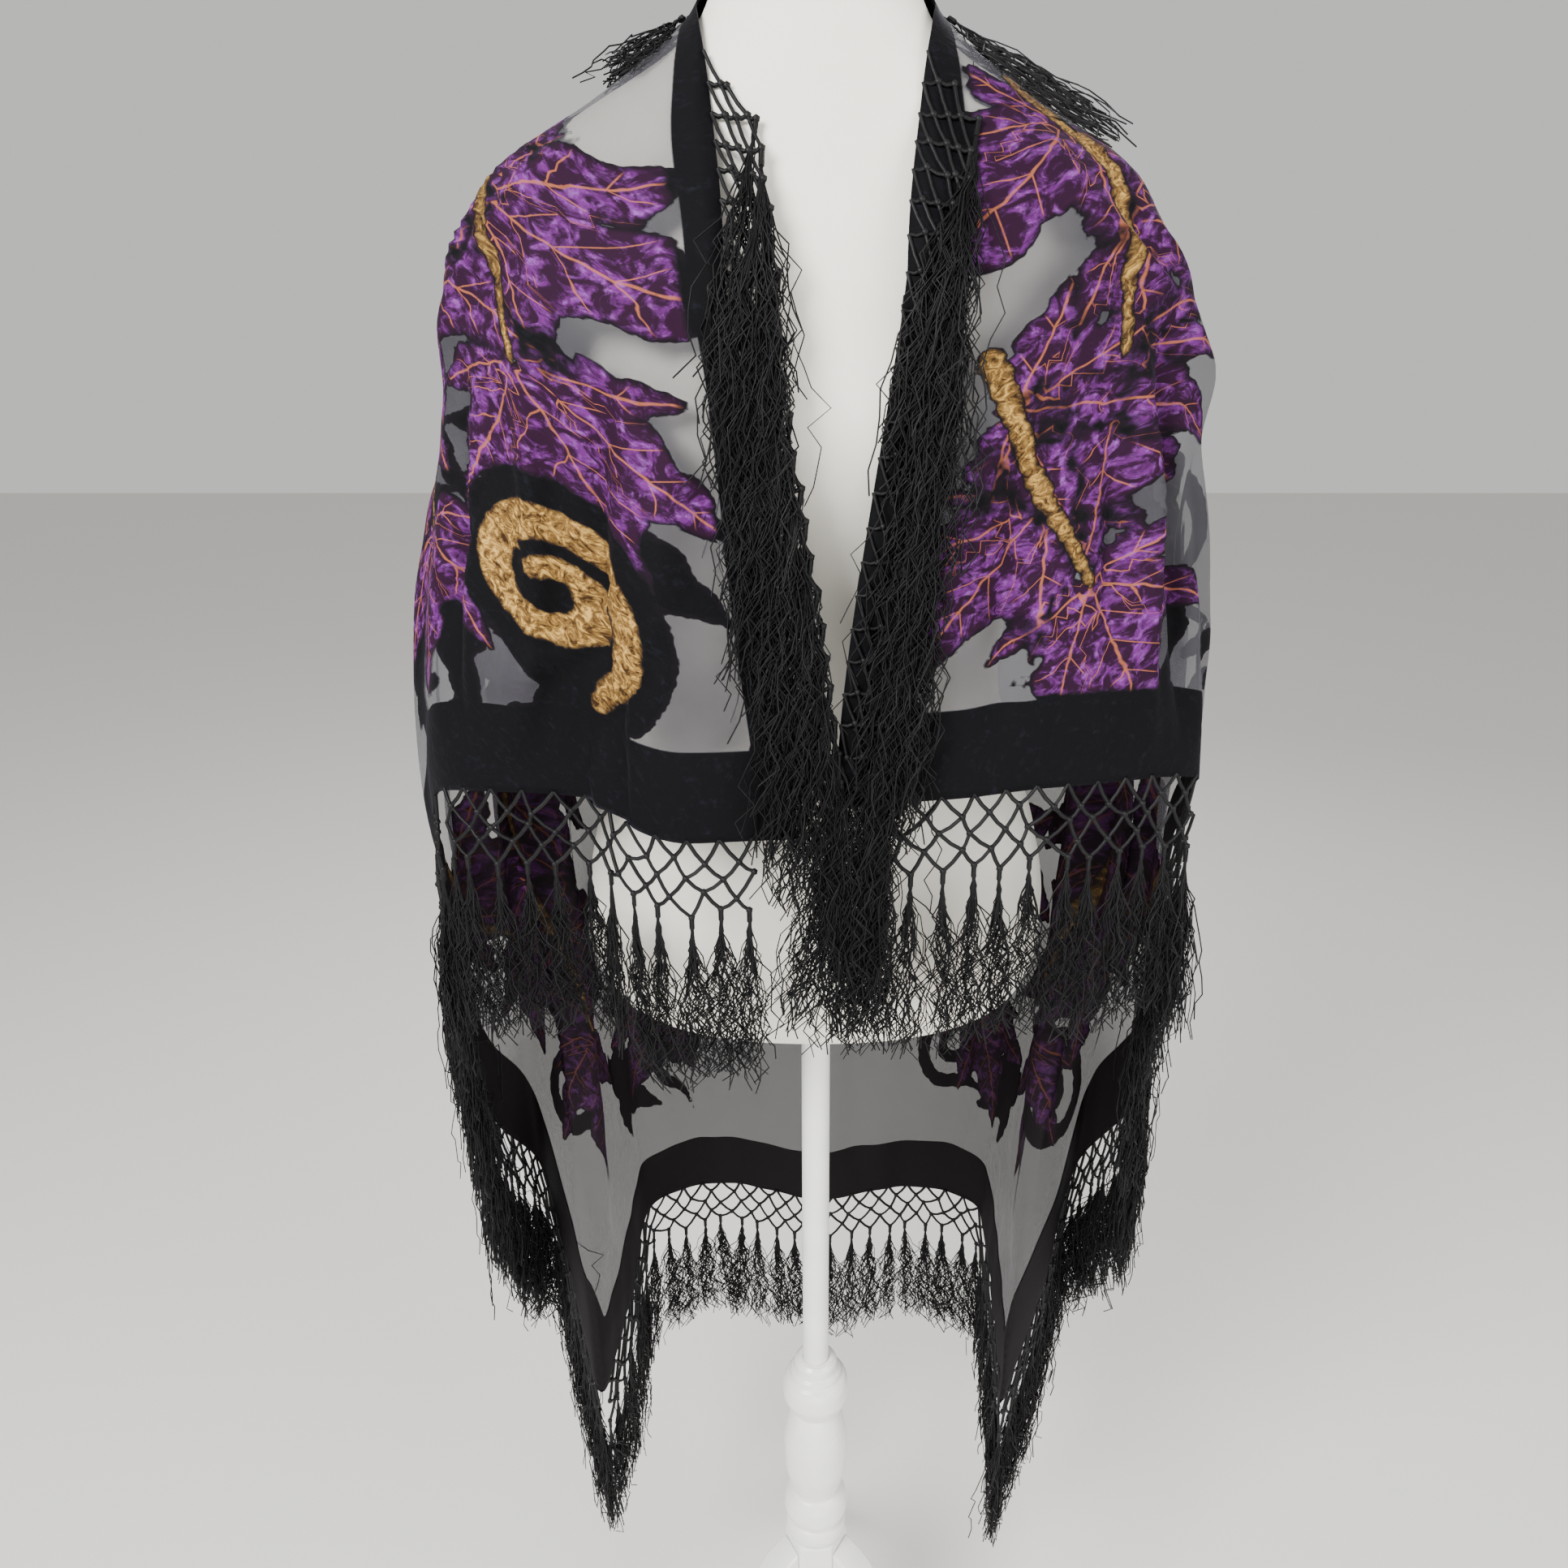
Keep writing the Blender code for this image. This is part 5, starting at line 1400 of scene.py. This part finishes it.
def glossPaint(name, shade, roughness, brush):
    # Brushed white enamel: smooth, with faint long marks and a little unevenness in the gloss.
    material = bpy.data.materials.new(name)
    material.use_nodes = True
    tree = material.node_tree
    shader = tree.nodes["Principled BSDF"]
    place = addNode(tree, "ShaderNodeTexCoord").outputs["Object"]
    tone = addNode(
        tree, "ShaderNodeTexNoise", None,
        {"Vector": place, "Scale": 1 / 0.04, "Detail": 3.0},
    ).outputs["Fac"]
    colour = addNode(
        tree, "ShaderNodeMix", {"data_type": "RGBA"},
        {0: tone, 6: hexColour(shade), 7: hexColour("#f3f2ef")},
    ).outputs[2]
    tree.links.new(colour, shader.inputs["Base Color"])
    uneven = addNode(
        tree, "ShaderNodeMapRange", None,
        {"Value": tone, "To Min": roughness - 0.05, "To Max": roughness + 0.08},
    ).outputs[0]
    tree.links.new(uneven, shader.inputs["Roughness"])
    wave = addNode(
        tree, "ShaderNodeTexNoise", None,
        {"Vector": place, "Scale": brush, "Detail": 1.0},
    ).outputs["Fac"]
    bump = addNode(tree, "ShaderNodeBump", None, {"Height": wave, "Strength": 0.10, "Distance": 0.0006})
    tree.links.new(bump.outputs[0], shader.inputs["Normal"])
    return material


woodPaint = glossPaint("white enamel on turned wood", "#e4e2dd", 0.24, 1 / 0.006)
postPaint = glossPaint("white powder coat on steel tube", "#dddcda", 0.38, 1 / 0.0015)
capPaint = glossPaint("white enamel on a turned cap", "#e0ded9", 0.30, 1 / 0.006)


def turned(name, profile, material, steps=96):
    # A closed turned piece from (height, radius) pairs, from the axis at the top to the axis at the bottom.
    turns = np.linspace(0, 2 * math.pi, steps, endpoint=False)
    points = []
    for height, radius in profile:
        if radius <= 0:
            points.append([(0.0, 0.0, height)])
        else:
            points.append([(radius * math.cos(t), radius * math.sin(t), height) for t in turns])
    starts = np.concatenate([[0], np.cumsum([len(ring) for ring in points])])
    faces = []
    for k in range(len(points) - 1):
        a, b = starts[k], starts[k + 1]
        for i in range(steps):
            after = (i + 1) % steps
            if len(points[k]) == 1:
                faces.append((a, b + i, b + after))
            elif len(points[k + 1]) == 1:
                faces.append((a + i, b, a + after))
            else:
                faces.append((a + i, b + i, b + after, a + after))
    allPoints = [p for ring in points for p in ring]
    obj = addPiece(name, allPoints, [tuple(int(x) for x in f) for f in faces], (material,))
    obj.data.set_sharp_from_angle(angle=math.radians(38))
    return obj


balusterStops = np.array([
    (0.2500, 0.0260), (0.2580, 0.0285), (0.2660, 0.0275), (0.2680, 0.0235), (0.2740, 0.0270), (0.2840, 0.0300),
    (0.2960, 0.0285), (0.3040, 0.0235), (0.3060, 0.0215), (0.3180, 0.0252), (0.3400, 0.0290), (0.3650, 0.0295),
    (0.3900, 0.0262), (0.4060, 0.0215), (0.4085, 0.0205), (0.4100, 0.0225), (0.4180, 0.0270), (0.4290, 0.0300),
    (0.4400, 0.0295), (0.4480, 0.0262), (0.4500, 0.0235), (0.4545, 0.0225), (0.4570, 0.0195), (0.4640, 0.0190),
    (0.4680, 0.0155),
])
balusterHeights = np.linspace(0.4680, 0.2500, 300)
balusterRadii = smoothCurve(balusterStops[:, 0], balusterStops[:, 1], balusterHeights)
balusterProfile = [(0.4300, 0.0), (0.4300, 0.0118), (0.4680, 0.0118)]
balusterProfile += list(zip(balusterHeights, balusterRadii)) + [(0.2500, 0.0)]
baluster = turned("baluster_turned", balusterProfile, woodPaint)
linkPiece(baluster, "painted_wood", "baluster")
post = turned("post_tube", [(0.8497, 0.0), (0.8497, 0.0115), (0.4303, 0.0115), (0.4303, 0.0)], postPaint)
linkPiece(post, "painted_post", "post")
capProfile = [
    (1.5923, 0.0), (1.5923, 0.034), (1.5915, 0.0375), (1.5895, 0.0405),
    (1.5865, 0.0435), (1.5835, 0.0458), (1.5803, 0.0468), (1.5803, 0.0),
]
cap = turned("cap_turned", capProfile, capPaint)
linkPiece(cap, "painted_cap", "neck_cap")

# The hub and legs keep their solids' shapes, with their long edges eased as sanded and painted wood has them.
for node in ("base_hub", "leg_front_left", "leg_front_right", "leg_back"):
    eased = bmesh.new()
    eased.from_mesh(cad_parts[node].data)
    bmesh.ops.remove_doubles(eased, verts=eased.verts, dist=0.00002)
    bmesh.ops.dissolve_limit(eased, angle_limit=math.radians(1.0), verts=eased.verts, edges=eased.edges)
    shared = [edge for edge in eased.edges if len(edge.link_faces) == 2]
    sharp = [edge for edge in shared if edge.calc_face_angle() > math.radians(35)]
    bmesh.ops.bevel(
        eased, geom=sharp, offset=0.0022, segments=3, profile=0.5, affect="EDGES", clamp_overlap=True,
    )
    mesh = bpy.data.meshes.new(node + "_eased")
    eased.to_mesh(mesh)
    eased.free()
    mesh.materials.append(woodPaint)
    mesh.shade_smooth()
    mesh.set_sharp_from_angle(angle=math.radians(40))
    obj = bpy.data.objects.new(node + "_eased", mesh)
    bpy.context.scene.collection.objects.link(obj)
    linkPiece(obj, "painted_wood", node)
print("stand made")

print("cad box", cadBox)
